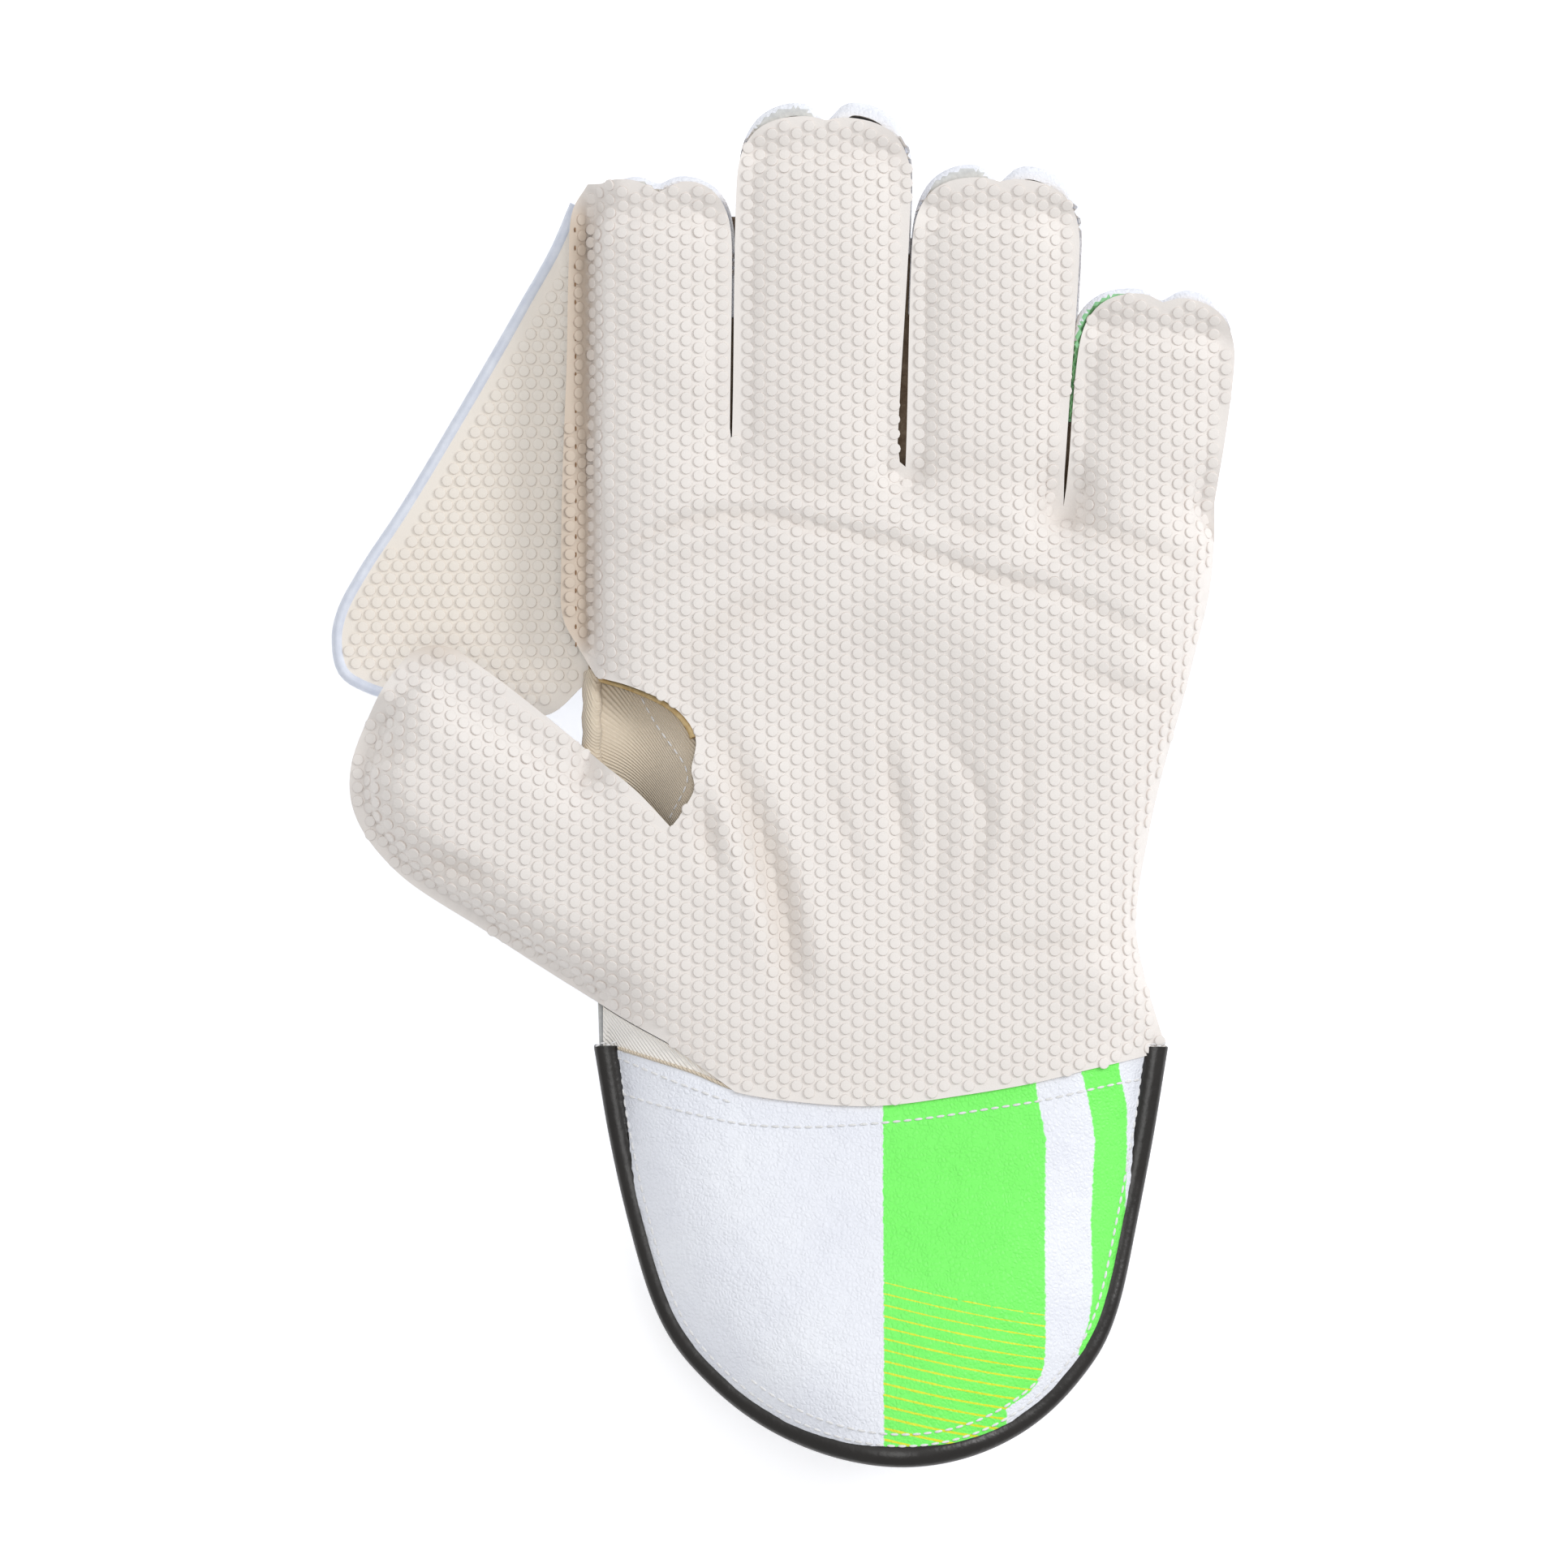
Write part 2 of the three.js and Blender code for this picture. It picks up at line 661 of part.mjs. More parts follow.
function spaced(points, outline, spacing) {
  const closed = [...outline, outline[0]];
  const kept = [];
  for (const point of points) {
    const crowded = kept.some((other) => Math.hypot(point[0] - other[0], point[1] - other[1]) < spacing);
    if (crowded || !inside(point, outline)) continue;
    if (lineDistance(point, closed) > spacing * 0.35) kept.push(point);
  }
  return kept;
}

function lattice(outline, step) {
  const xs = outline.map(([x]) => x);
  const ys = outline.map(([, y]) => y);
  const points = [];
  let row = 0;
  for (let y = Math.min(...ys); y < Math.max(...ys); y += step * 0.87) {
    const shift = (row % 2) * step / 2;
    for (let x = Math.min(...xs); x < Math.max(...xs); x += step) points.push([x + shift, y]);
    row += 1;
  }
  return points;
}

// Inner points of the hand's two shells: rows beside the sides, the folds, and an even field
function handPoints(outline, sides, withFolds) {
  const rows = [SIDE_WALL, EDGE_ROUND * 0.46].flatMap((distance) => (
    offset(sides, distance).filter((p) => Math.abs(depthInside(p, sides) - distance) < 0.2 * distance)
  ));
  const edgeRows = spaced(rows, outline, EDGE_STEP * 0.38);
  const folds = withFolds ? foldLines.flatMap(({ line }) => curve(line, EDGE_STEP)) : [];
  const field = lattice(outline, FIELD_STEP).filter((p) => depthInside(p, sides) > EDGE_ROUND * 0.72);
  const clearOfRows = (p) => !edgeRows.some((q) => Math.hypot(p[0] - q[0], p[1] - q[1]) < FIELD_STEP * 0.41);
  return [...edgeRows, ...spaced([...folds, ...field], outline, FIELD_STEP * 0.62).filter(clearOfRows)];
}

// Round cord swept along a line
function piping(points) {
  const section = new THREE.Shape();
  for (let i = 0; i < PIPING_SIDES; i += 1) {
    const turn = (i + 0.5) / PIPING_SIDES * Math.PI * 2;
    const corner = [Math.cos(turn) * PIPING / 2, Math.sin(turn) * PIPING / 2];
    if (i === 0) section.moveTo(...corner);
    else section.lineTo(...corner);
  }
  return new THREE.ExtrudeGeometry(section, {
    extrudePath: new THREE.CatmullRomCurve3(points.map(([x, y, z]) => new THREE.Vector3(x, y, z))),
    steps: PIPING_STEPS,
    bevelEnabled: false,
    curveSegments: 1,
  });
}

function toSolid(geometry) {
  const bare = new THREE.BufferGeometry();
  bare.setAttribute('position', geometry.getAttribute('position'));
  if (geometry.index) bare.setIndex(geometry.index);
  const merged = mergeVertices(bare, 1e-4);
  return new wasm.Manifold(new wasm.Mesh({
    numProp: 3,
    vertProperties: new Float32Array(merged.getAttribute('position').array),
    triVerts: new Uint32Array(merged.index.array),
  }));
}

function toGeometry(solid) {
  const mesh = solid.getMesh();
  const geometry = new THREE.BufferGeometry();
  geometry.setAttribute('position', new THREE.Float32BufferAttribute(mesh.vertProperties, 3));
  geometry.setIndex(Array.from(mesh.triVerts));
  geometry.computeVertexNormals();
  return geometry;
}

// Upright block over a plan outline, tall enough to cut any shell
function block(outline) {
  const shape = new THREE.Shape(outline.map(([x, y]) => new THREE.Vector2(x, y)));
  const geometry = new THREE.ExtrudeGeometry(shape, { depth: 400, bevelEnabled: false });
  return toSolid(geometry.translate(0, 0, -200));
}

// Materials
const finishes = {
  rubber: new THREE.MeshStandardMaterial({ color: '#e9e1d9', roughness: 0.75 }),
  webRubber: new THREE.MeshStandardMaterial({ color: '#e8ddcf', roughness: 0.75 }),
  leather: new THREE.MeshStandardMaterial({ color: '#ebecf2', roughness: 0.55 }),
  binding: new THREE.MeshStandardMaterial({ color: '#dce1eb', roughness: 0.5 }),
  lining: new THREE.MeshStandardMaterial({ color: '#dcd2be', roughness: 0.9 }),
  tape: new THREE.MeshStandardMaterial({ color: '#eae2d8', roughness: 0.9 }),
  vinyl: new THREE.MeshStandardMaterial({ color: '#23211f', roughness: 0.4 }),
};

const glove = new THREE.Group();

function addPiece(name, geometry, finish) {
  const mesh = new THREE.Mesh(geometry, finish);
  mesh.name = name;
  glove.add(mesh);
  return mesh;
}

function rubberShell() {
  const inner = handPoints(rubberOutline, crownSides, true);
  return toSolid(sheet(rubberOutline, inner, palmTop, palmUnder));
}

function leatherShell() {
  const inner = handPoints(leatherOutline, leatherSides, false);
  return toSolid(sheet(leatherOutline, inner, backTop, backUnder));
}

// Point above a slit's foot, on the line to the middle between its two fingers
function slitPoint(i, up) {
  const reference = MIDDLE_LENGTH * 0.67;
  const level = slits[i][1] + reference;
  const before = onFinger(fingers[i], fingers[i].half, level - fingers[i].y);
  const after = onFinger(fingers[i + 1], -fingers[i + 1].half, level - fingers[i + 1].y);
  const slope = ((before[0] + after[0]) / 2 - slits[i][0]) / reference;
  return [slits[i][0] + up * slope, slits[i][1] + up];
}

function fingerBlock(i, lift) {
  const far = MIDDLE_LENGTH * 1.5;
  const last = fingers.length - 1;
  const outer = PALM_WIDTH / 4;
  const left = (up) => (i === 0 ? [palmLeft - outer, slits[0][1] + up] : slitPoint(i - 1, up));
  const right = (up) => (i === last ? [palmRight + outer, slits[last - 1][1] + up] : slitPoint(i, up));
  return block([left(lift), right(lift), right(far), left(far)]);
}

function thumbBlock(shift) {
  const heel = thumbLeather[heelIndex];
  const flangeSide = crotch[0] - shift - INDEX_FLANGE * 1.5;
  return block([
    [crotch[0] - shift, windowTop - GAP * 2],
    [flangeSide, windowTop - GAP * 2],
    [flangeSide, crotch[1] + THUMB_WIDTH],
    [crotch[0] - shift - THUMB_LENGTH * 1.3, crotch[1] + THUMB_WIDTH],
    [crotch[0] - shift - THUMB_LENGTH * 1.3, heel[1] - THUMB_WIDTH],
    [heel[0] - shift, heel[1] - THUMB_WIDTH],
    [heel[0] - shift, heel[1]],
    [crotch[0] - shift, crotch[1]],
  ]);
}

// A cut can leave slivers beside a slit, which aren't part of the piece
function withoutSlivers(solid) {
  return solid.decompose().reduce((best, body) => (body.volume() > best.volume() ? body : best));
}

// Shell of hand, fingers and thumb, cut at the roots so that each stall is a piece of its own
function addShell(shell, hand, layer, finish) {
  const add = (name, solid) => addPiece(`${name}_${layer}`, toGeometry(withoutSlivers(solid)), finish);
  let rest = shell;
  fingers.forEach((finger, i) => {
    rest = rest.subtract(fingerBlock(i, -GAP / 2));
    add(finger.name, shell.intersect(fingerBlock(i, GAP / 2)));
  });
  rest = rest.subtract(thumbBlock(-GAP / 2));
  add('thumb', shell.intersect(thumbBlock(GAP / 2)));
  add(hand, rest);
}

// Web: hangs from the index flange, droops a little and passes under the thumb
function webTop(point) {
  const away = palmLeft - point[0];
  const free = fingerSeam(point[1]) - GAP - WEB_DROOP * smooth(away / (WEB_WIDTH / 3));
  return inside(point, leatherSides) ? Math.min(free, backUnder(point) - GAP * 3) : free;
}

function webUnder(point) {
  return webTop(point) - WEB_WALL;
}

const webTopEnd = indexTip - TIP_ROUND / 4;
const webRow = ({ down, out }) => [palmLeft - GAP - out * WEB_WIDTH, webTopEnd - down * WEB_HEIGHT];
const webBound = curve(WEB_EDGE.slice(0, WEB_BOUND_ROWS).map(webRow), EDGE_STEP);
const webLoose = curve(WEB_EDGE.slice(WEB_BOUND_ROWS - 1).map(webRow), EDGE_STEP).slice(1);

function webPanel() {
  const bound = offset(webBound, BINDING_WIDTH + GAP);
  const top = webTopEnd - TIP_ROUND / 2;
  const side = curve([[palmLeft - GAP, webLoose.at(-1)[1] + 1], [palmLeft - GAP, top]], EDGE_STEP * 1.5);
  const outline = [...bound.filter(([, y]) => y < top), ...webLoose.slice(0, -1), ...side];
  return sheet(outline, spaced(lattice(outline, FIELD_STEP), outline, FIELD_STEP * 0.7), webTop, webUnder);
}

function webBinding() {
  const outline = [...webBound, ...offset(webBound, BINDING_WIDTH).reverse()];
  return sheet(outline, [], (p) => webTop(p) + 0.2, (p) => webUnder(p) - 0.2);
}

// Cloth lining seen through the window
function liningTop(point) {
  const deep = clamp((point[0] - palmLeft) / WINDOW_DEPTH, 0, 1);
  return palmUnder(point) - GAP * 4 - LINING_SAG * Math.sin(Math.PI * mix(0.1, 0.9, deep)) ** 2;
}

function crotchLining() {
  const left = palmLeft + SIDE_WALL * 2;
  const window = curve(WINDOW_EDGE.map(windowRow), EDGE_STEP);
  const far = offset(window, LINING_MARGIN).filter(([x]) => x > left);
  const outline = [[left, far[0][1]], [left, crotch[1]], ...far.reverse()];
  return sheet(outline, spaced(lattice(outline, 7), outline, 5), liningTop, (p) => liningTop(p) - CLOTH_WALL);
}

// Cotton strip that closes the wedge between thumb and cuff
function tapeTop(point) {
  return Math.max(palmTop(point) - GAP * 3, seam(point) + EDGE_WALL - 0.2);
}

function wristTape() {
  const lower = wristLine.filter(([x]) => x < HEM_START * wristHalf - 1).map(([x, y]) => [x, y + GAP]);
  const heelLine = thumbRubber.slice(heelIndex).filter(([x]) => x > -wristHalf + 2);
  const upper = heelLine.map(([x, y]) => [x, y - GAP * 1.5]);
  const outline = [[-wristHalf + 1, 0], ...lower, ...upper.reverse(), [-wristHalf + 1, upper.at(-1)[1]]];
  return sheet(outline, [], tapeTop, (p) => Math.max(tapeTop(p) - CLOTH_WALL, seam(p) + SEAM_GAP / 2));
}

// Cuff: one half of its edge, mirrored about its shifting middle line
function cuffEdge(inset) {
  const half = (side) => CUFF_SIDE.map((row) => {
    const down = row.down * CUFF_LENGTH;
    return [cuffCentre(down) + side * row.half * CUFF_WIDTH / 2, -down];
  });
  const line = curve([...half(-1), ...half(1).reverse().slice(1)], EDGE_STEP * 0.8);
  return offset(line, inset);
}

// Part of a line that lies below a level, ending on it
function below(line, level) {
  const points = [];
  for (let i = 0; i < line.length; i += 1) {
    const [x, y] = line[i];
    const next = line[i + 1];
    if (y <= level) points.push([x, y]);
    if (next && (y > level) !== (next[1] > level)) {
      points.push([mix(x, next[0], (level - y) / (next[1] - y)), level]);
    }
  }
  return points;
}

function flapOutline(topLine) {
  const edge = below(cuffEdge(PIPING + GAP), -PIPING / 2);
  return [...edge, ...topLine.reverse()];
}

function frontFlap() {
  const outline = flapOutline(wristLine.map(([x, y]) => [x * 0.995, y - GAP]));
  const inner = spaced(lattice(outline, FIELD_STEP * 1.1), outline, FIELD_STEP * 0.8);
  return sheet(outline, inner, flapTop, (p) => Math.max(flapTop(p) - CUFF_WALL, seam(p) + SEAM_GAP / 2));
}

function backFlap() {
  const reach = cuffHalf(0) - PIPING - GAP;
  const outline = flapOutline(curve([[-reach, -GAP], [reach, -GAP]], EDGE_STEP));
  const inner = spaced(lattice(outline, FIELD_STEP * 1.1), outline, FIELD_STEP * 0.8);
  return sheet(outline, inner, (p) => Math.min(flapUnder(p) + CUFF_WALL, seam(p) - SEAM_GAP / 2), flapUnder);
}

function flapPiping(height) {
  const line = below(cuffEdge(PIPING / 2), -PIPING / 2);
  return piping(line.map((p) => [p[0], p[1], height(p)]));
}

function frontPipingHeight(point) {
  return Math.max(flapTop(point) - CUFF_WALL / 2, seam(point) + (SEAM_GAP + PIPING) / 2);
}

function backPipingHeight(point) {
  const beside = Math.min(flapUnder(point) + CUFF_WALL / 2, seam(point) - (SEAM_GAP + PIPING) / 2);
  return Math.max(beside, PIPING / 2);
}

addShell(rubberShell(), 'palm', 'rubber', finishes.rubber);
addShell(leatherShell(), 'hand', 'back', finishes.leather);
addPiece('web_panel', webPanel(), finishes.webRubber);
addPiece('web_binding', webBinding(), finishes.binding);
addPiece('crotch_lining', crotchLining(), finishes.lining);
addPiece('wrist_tape', wristTape(), finishes.tape);
addPiece('cuff_front', frontFlap(), finishes.leather);
addPiece('cuff_back', backFlap(), finishes.leather);
addPiece('cuff_front_piping', flapPiping(frontPipingHeight), finishes.vinyl);
addPiece('cuff_back_piping', flapPiping(backPipingHeight), finishes.vinyl);

// The origin is the middle of the glove's plan, on the surface that it lies on
const bounds = new THREE.Box3().setFromObject(glove);
const middle = bounds.getCenter(new THREE.Vector3());
glove.position.set(-middle.x, -middle.y, -bounds.min.z);

export default glove;
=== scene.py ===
import json
import math

import bmesh
import bpy
import numpy as np
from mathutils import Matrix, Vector
from mathutils.geometry import delaunay_2d_cdt

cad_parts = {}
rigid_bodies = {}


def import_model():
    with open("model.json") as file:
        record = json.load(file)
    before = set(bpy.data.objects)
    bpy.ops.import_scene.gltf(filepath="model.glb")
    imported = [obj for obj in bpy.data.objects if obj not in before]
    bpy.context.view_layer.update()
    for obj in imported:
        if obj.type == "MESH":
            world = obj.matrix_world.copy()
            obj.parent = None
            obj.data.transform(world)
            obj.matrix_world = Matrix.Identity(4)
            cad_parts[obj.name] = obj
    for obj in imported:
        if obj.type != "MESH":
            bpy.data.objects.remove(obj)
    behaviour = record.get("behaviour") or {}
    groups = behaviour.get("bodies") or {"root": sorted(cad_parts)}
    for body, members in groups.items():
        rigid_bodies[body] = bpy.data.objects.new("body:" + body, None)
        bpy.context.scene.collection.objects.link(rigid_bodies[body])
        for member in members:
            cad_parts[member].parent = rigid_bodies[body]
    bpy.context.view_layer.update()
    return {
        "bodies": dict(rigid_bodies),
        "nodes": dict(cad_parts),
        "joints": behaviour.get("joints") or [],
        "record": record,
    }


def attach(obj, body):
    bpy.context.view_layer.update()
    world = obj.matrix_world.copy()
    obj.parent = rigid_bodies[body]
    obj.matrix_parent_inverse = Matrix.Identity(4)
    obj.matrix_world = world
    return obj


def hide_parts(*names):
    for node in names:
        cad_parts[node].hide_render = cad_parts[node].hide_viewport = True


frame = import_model()

# A left wicketkeeping glove, palm up on its padded back. Plan lengths are millimetres from the middle
# of the wrist seam, fingers along +Y and thumb towards -X; heights are from the floor. Meshes are
# moved to the frame's own origin and to metres as they are made.
MM = 0.001
SHIFT = (24.52, -66.09)

# Hand
PALM_LENGTH = 150
PALM_WIDTH = 154.4
WRIST_WIDTH = 140.2
KNUCKLE_SHIFT = 4.9
WAIST_DENT = 7.5
MIDDLE_LENGTH = 82.9
MIDDLE_WIDTH = 41.4
TIP_ROUND = 20
TIP_POWER = 3.1
INDEX_CORNER_POWER = 6
THUMB_LENGTH = 105
THUMB_WIDTH = 53
THUMB_ANGLE = 32
THUMB_ROOT = (0.216, 0.167)
THUMB_BLEND = (0.49, 0.35)
THUMB_FLANGE = 5
SEAM_FLANGE = 0.8
FINGER_GROW = 0.8
INDEX_FLANGE = 7
WINDOW_HEIGHT = 37.5
WINDOW_DEPTH = 26.4
WINDOW_ABOVE_CROTCH = 24
HEM_DROP = 13.5

# Heights and walls
SEAM_HEIGHT = 26
FINGER_CURL = 8
CURL_FROM = 140
CURL_RUN = 90
THUMB_LIFT = 14
FINGER_THINNING = 6
THUMB_THINNING = 12
PALM_RISE = 11
EDGE_ROUND = 14
RUBBER_WALL = 2.2
EDGE_WALL = 2
SIDE_WALL = 2.4
BACK_PADDING = 8
BACK_POWER = 2.5
CLOTH_WALL = 1.2
PALM_CUP = 5
PAD_STEP = 2.8
PAD_PRESSURE = 4
PAD_FRAMES = 20
PAD_SWELL = 1.6
SKIN_MASS = 0.002
ROLL_FIRST = 14
ROLL_PITCH = 15
ROLL_MARGIN = 5
ROLL_SINK = 2.2
THUMB_ROLLS = (0.3, 0.47, 0.64, 0.81)
HAND_ROLLS = (0.16, 0.34, 0.52, 0.7, 0.86)
HAND_ROLL_FOOT = 0.2
HAND_ROLL_TOP = 0.82
HAND_ROLL_NARROWS = 0.86
FLOOR_GAP = 0.2
ROLL_WIDTH = 2.2
SEWN_WITHIN = 0.4
PAD_THINNEST = 2
LINING_SAG = 6
LINING_OVER_RIM = 0.6
LINING_ROLL = 4.8
FINGER_EDGE_LIFT = 8.5
THUMB_EDGE_LIFT = 6
LIFT_FROM = 128
LIFT_RUN = 22
FINGER_RIM = 4.2
TIP_RIM = 6
TIP_DIP = 9
TIP_DIP_DEPTH = 1.6
TIP_DIP_WIDTH = 2.8
TIP_TURN_UP = 2
LOBE_DEPTH = 3.4
LOBE_RISE = 1.6
LOBE_WHITE = 1.3
LOBE_REACH = 1.7
LOBE_ROUND = 2.2
LOBE_UNDER = 3.5
LOBE_NOTCH = 3
GREEN_LOBES = ("little",)
GUSSET_LENGTHS = (56, 56, 34)
GUSSET_DEPTH = 3
GUSSET_WALL = 1.2
GUSSET_INSET = 1.5
GUSSET_ROWS = 16
FLANGE_DIP = 1.4
FLANGE_DIP_WIDTH = 1.3
FLANGE_FADE = 12
# Strength of the painted shade in the rubber's folds
FOLD_PAINTED_SHADE = 0.3
UNEVEN = 0.45
UNEVEN_SPAN = 7.5
HEM_STEP = 0.8
LINING_MARGIN = 4
GAP = 0.3
SEAM_GAP = 0.5
EDGE_STEP = 1.8
CLOTH_STEP = 1.4
TAPE_STEP = 1.6
LOBE_STEP = 1.1
THINNEST = 0.3
SHARP_ANGLE = 50

# Web, cuff and piping
WEB_HEIGHT = 126.6
WEB_WIDTH = 63.3
WEB_WALL = 2.2
WEB_DROOP = 3
BINDING_WIDTH = 2.6
WEB_OUT = 0.9
CUFF_LENGTH = 101.3
CUFF_WIDTH = 143
CUFF_SHIFT = 5
CUFF_WALL = 3
CUFF_FLARE = 17
CUFF_BEND = 130
PIPING = 4.4
PIPING_FRAY = [(-2, 0.1), (-0.8, 0.7), (0.6, 0.2), (1.9, 0.8)]
FRAY_STITCH = {"Pitch": 1.4 * MM, "Length": 1.3 * MM, "Thickness": 0.4 * MM}
PIPING_ENDS = (0.4, 0.1)
PIPING_OVAL = 1.36
PIPING_INSET = 1

# Pimples of the rubber
PIMPLE_PITCH = 3.5
PIMPLE_WIDTH = 2.85
PIMPLE_HEIGHT = 0.5
PIMPLE_SIDES = 12
PIMPLE_RINGS = 3
PIMPLE_TOP = 0.85
PIMPLES_OFF_EDGE = 1.1
PATTERN_SPAN = 0.4
PATTERN_MIDDLE = (-24, 100)
PATTERN_EASE = 0.5
FLANGE_ROW = 3.4
FLANGE_STITCH = {"Pitch": 4.4 * MM, "Length": 1.3 * MM, "Thickness": 0.4 * MM}
TAPE_STITCH = {"Pitch": 2.4 * MM, "Length": 1.8 * MM, "Thickness": 0.45 * MM}
LINING_STITCH = {"Pitch": 2.6 * MM, "Length": 1.9 * MM, "Thickness": 0.45 * MM}
CUFF_STITCH = {"Pitch": 2.7 * MM, "Length": 2.1 * MM, "Thickness": 0.7 * MM}
PAD_STITCH = {"Pitch": 3 * MM, "Length": 2.1 * MM, "Thickness": 0.6 * MM}
PIMPLE_SIZES = {"Pitch": PIMPLE_PITCH * MM, "Width": PIMPLE_WIDTH * MM, "Height": PIMPLE_HEIGHT * MM}

# Print on the cuff's front, and the camera, in the frame's own plan. The stripes' edges are given as
# how far down and how far right they lie.
STRIPE_LEFT = 24.8
WIDE_RIGHT = [
    (74, 62.5), (80.6, 63.5), (87.8, 65), (108, 64.6), (140.8, 64.6), (146, 63.6), (150, 60.4), (153, 55),
]
NARROW_LEFT = [
    (71, 73.8), (80.5, 76.2), (87.7, 77.2), (108, 76.2), (126, 76.6), (133, 75.6), (141.8, 72.5), (143.4, 92),
]
NARROW_RIGHT = [(70, 83.2), (80.5, 85.4), (90.7, 85.4), (106, 85), (113, 87), (120, 92), (146, 92)]
NO_PRINT = -5
ROW_TOP = -121
ROW_END = -164
ROW_PITCH = 2.7
ROW_SLOPE = 0.25
ROW_BEND = 0.001
STITCH_ROWS = [
    # inset from the cuff's edge, and the height below which the row runs
    (5.6, -1), (8.4, -80),
]
HEM_STITCHES = [
    # along the hem, in the frame's own plan
    [(-41.6, -76.6), (-32.4, -79.2), (-22.2, -81.6), (-10, -84), (4.4, -84.8), (18.6, -84.2), (34, -82.8),
     (49.2, -80.6), (64.6, -78.2), (74.8, -76), (83, -74.4), (90, -73.4)],
    [(-40.8, -68.2), (-32.8, -71.4), (-22.8, -75.2), (-13.8, -78.4)],
]
# Rows of stitches on the lining and on the wrist strip, right and up in the same plan
LINING_ROW = [(-35.8, 22.6), (-31.2, 14.4), (-27.6, 9.4), (-24.6, 5.2), (-23.4, 1), (-27.6, -8)]
TAPE_ROW = [(-41, -66.4), (-32.8, -68.4), (-22.8, -71.4), (-12.8, -74.6)]
CAMERA_PLACE = (0.4, -0.2, 1544)
CAMERA_LENS = 140
CAMERA_SENSOR = 36
SKY_LIGHT = 0.5
FLOOR_WIDTH = 6000
FLOOR_GLOW = 0.38
LIGHT_AIM = (0, 0, 30)
LIGHTS = [
    # name, place, width, power
    ("key", (1000, 450, 800), 500, 7),
    ("fill", (-40, 0, 1500), 700, 4.6),
    ("front", (-300, 700, 1200), 1200, 2.6),
]

PALM_SIDE = [
    # share of PALM_LENGTH up, blend from wrist to knuckle width, share of WAIST_DENT
    (0, 0, 0), (0.13, 0, 0.75), (0.21, 0, 1), (0.37, 0.3, 1), (0.47, 0.5, 0.85),
    (0.57, 0.7, 0.6), (0.66, 0.85, 0.38), (0.76, 0.98, 0.12), (0.84, 1, 0),
]
FINGERS = [
    # shares of PALM_WIDTH, PALM_LENGTH, MIDDLE_WIDTH and MIDDLE_LENGTH, degrees of lean, and in mm the notch
    # in the rubber's tip (width, depth), the leather lobes behind it and their spread beside it (right, left)
    {"name": "index", "centre": 0.111, "root": 1, "width": 0.83, "reach": 0.78, "waist": 0.98, "lean": 0.3,
     "notch": (3.9, 3.2), "lobes": (1.4, 1.2), "spread": (1.5, 0)},
    {"name": "middle", "centre": 0.3605, "root": 0.98, "width": 1, "reach": 1, "waist": 0.95, "lean": 2,
     "notch": (2.4, 0.9), "lobes": (4.6, 4), "spread": (1.2, 0.6)},
    {"name": "ring", "centre": 0.633, "root": 0.93, "width": 0.96, "reach": 0.91, "waist": 0.95, "lean": 2.6,
     "notch": (2.4, 0.9), "lobes": (4, 3.8), "spread": (1.4, 1)},
    {"name": "little", "centre": 0.882, "root": 0.89, "width": 0.9, "reach": 0.64, "waist": 0.95, "lean": 6,
     "notch": (2.6, 1.8), "lobes": (2.6, 1.6), "spread": (0.3, 3.4)},
]
# Foot of each slit: share of PALM_WIDTH across, share of PALM_LENGTH up
SLITS = [(0.2275, 1), (0.4975, 0.965), (0.7615, 0.893)]
FLANGE_EDGE = [
    # share of the way down from the index's tip to the window, share of INDEX_FLANGE out
    (0.005, 0.05), (0.06, 0.57), (0.17, 0.71), (0.37, 0.8), (0.6, 0.96), (0.78, 1), (0.88, 0.94), (0.95, 0.3),
]
# Shares of WINDOW_DEPTH in and of WINDOW_HEIGHT up
WINDOW_EDGE = [(0.06, 1), (0.41, 0.93), (0.81, 0.79), (1, 0.6), (0.96, 0.38), (0.99, 0.27), (0.84, 0.07)]
THUMB_EDGE = [
    # share of THUMB_LENGTH along, share of THUMB_WIDTH across, leather's inset, width of the flat rim
    (0.258, 0.352, 1, 0), (0.37, 0.41, 1, 1), (0.487, 0.44, 1, 3), (0.66, 0.487, 1, 5),
    (0.82, 0.517, 1, 6), (0.924, 0.516, 0.8, 6), (0.98, 0.43, 0.5, 5.5), (1, 0.21, 0.2, 5),
    (0.97, -0.196, 0.16, 4), (0.9, -0.38, 0.16, 3.5), (0.75, -0.5, 0.16, 3), (0.495, -0.52, 0.16, 2.5),
    (0.303, -0.528, 0.16, 2), (0.122, -0.526, 0.16, 1), (0, -0.51, 0.16, 0),
]
WRIST_LINE = [
    # share of half WRIST_WIDTH across, share of HEM_DROP down
    (-0.93, 0.03), (-0.666, 0.44), (-0.52, 0.74), (-0.29, 0.93), (-0.02, 1),
    (0.28, 0.81), (0.54, 0.58), (0.72, 0.36), (0.93, 0.13),
]
HEM_START = -0.52
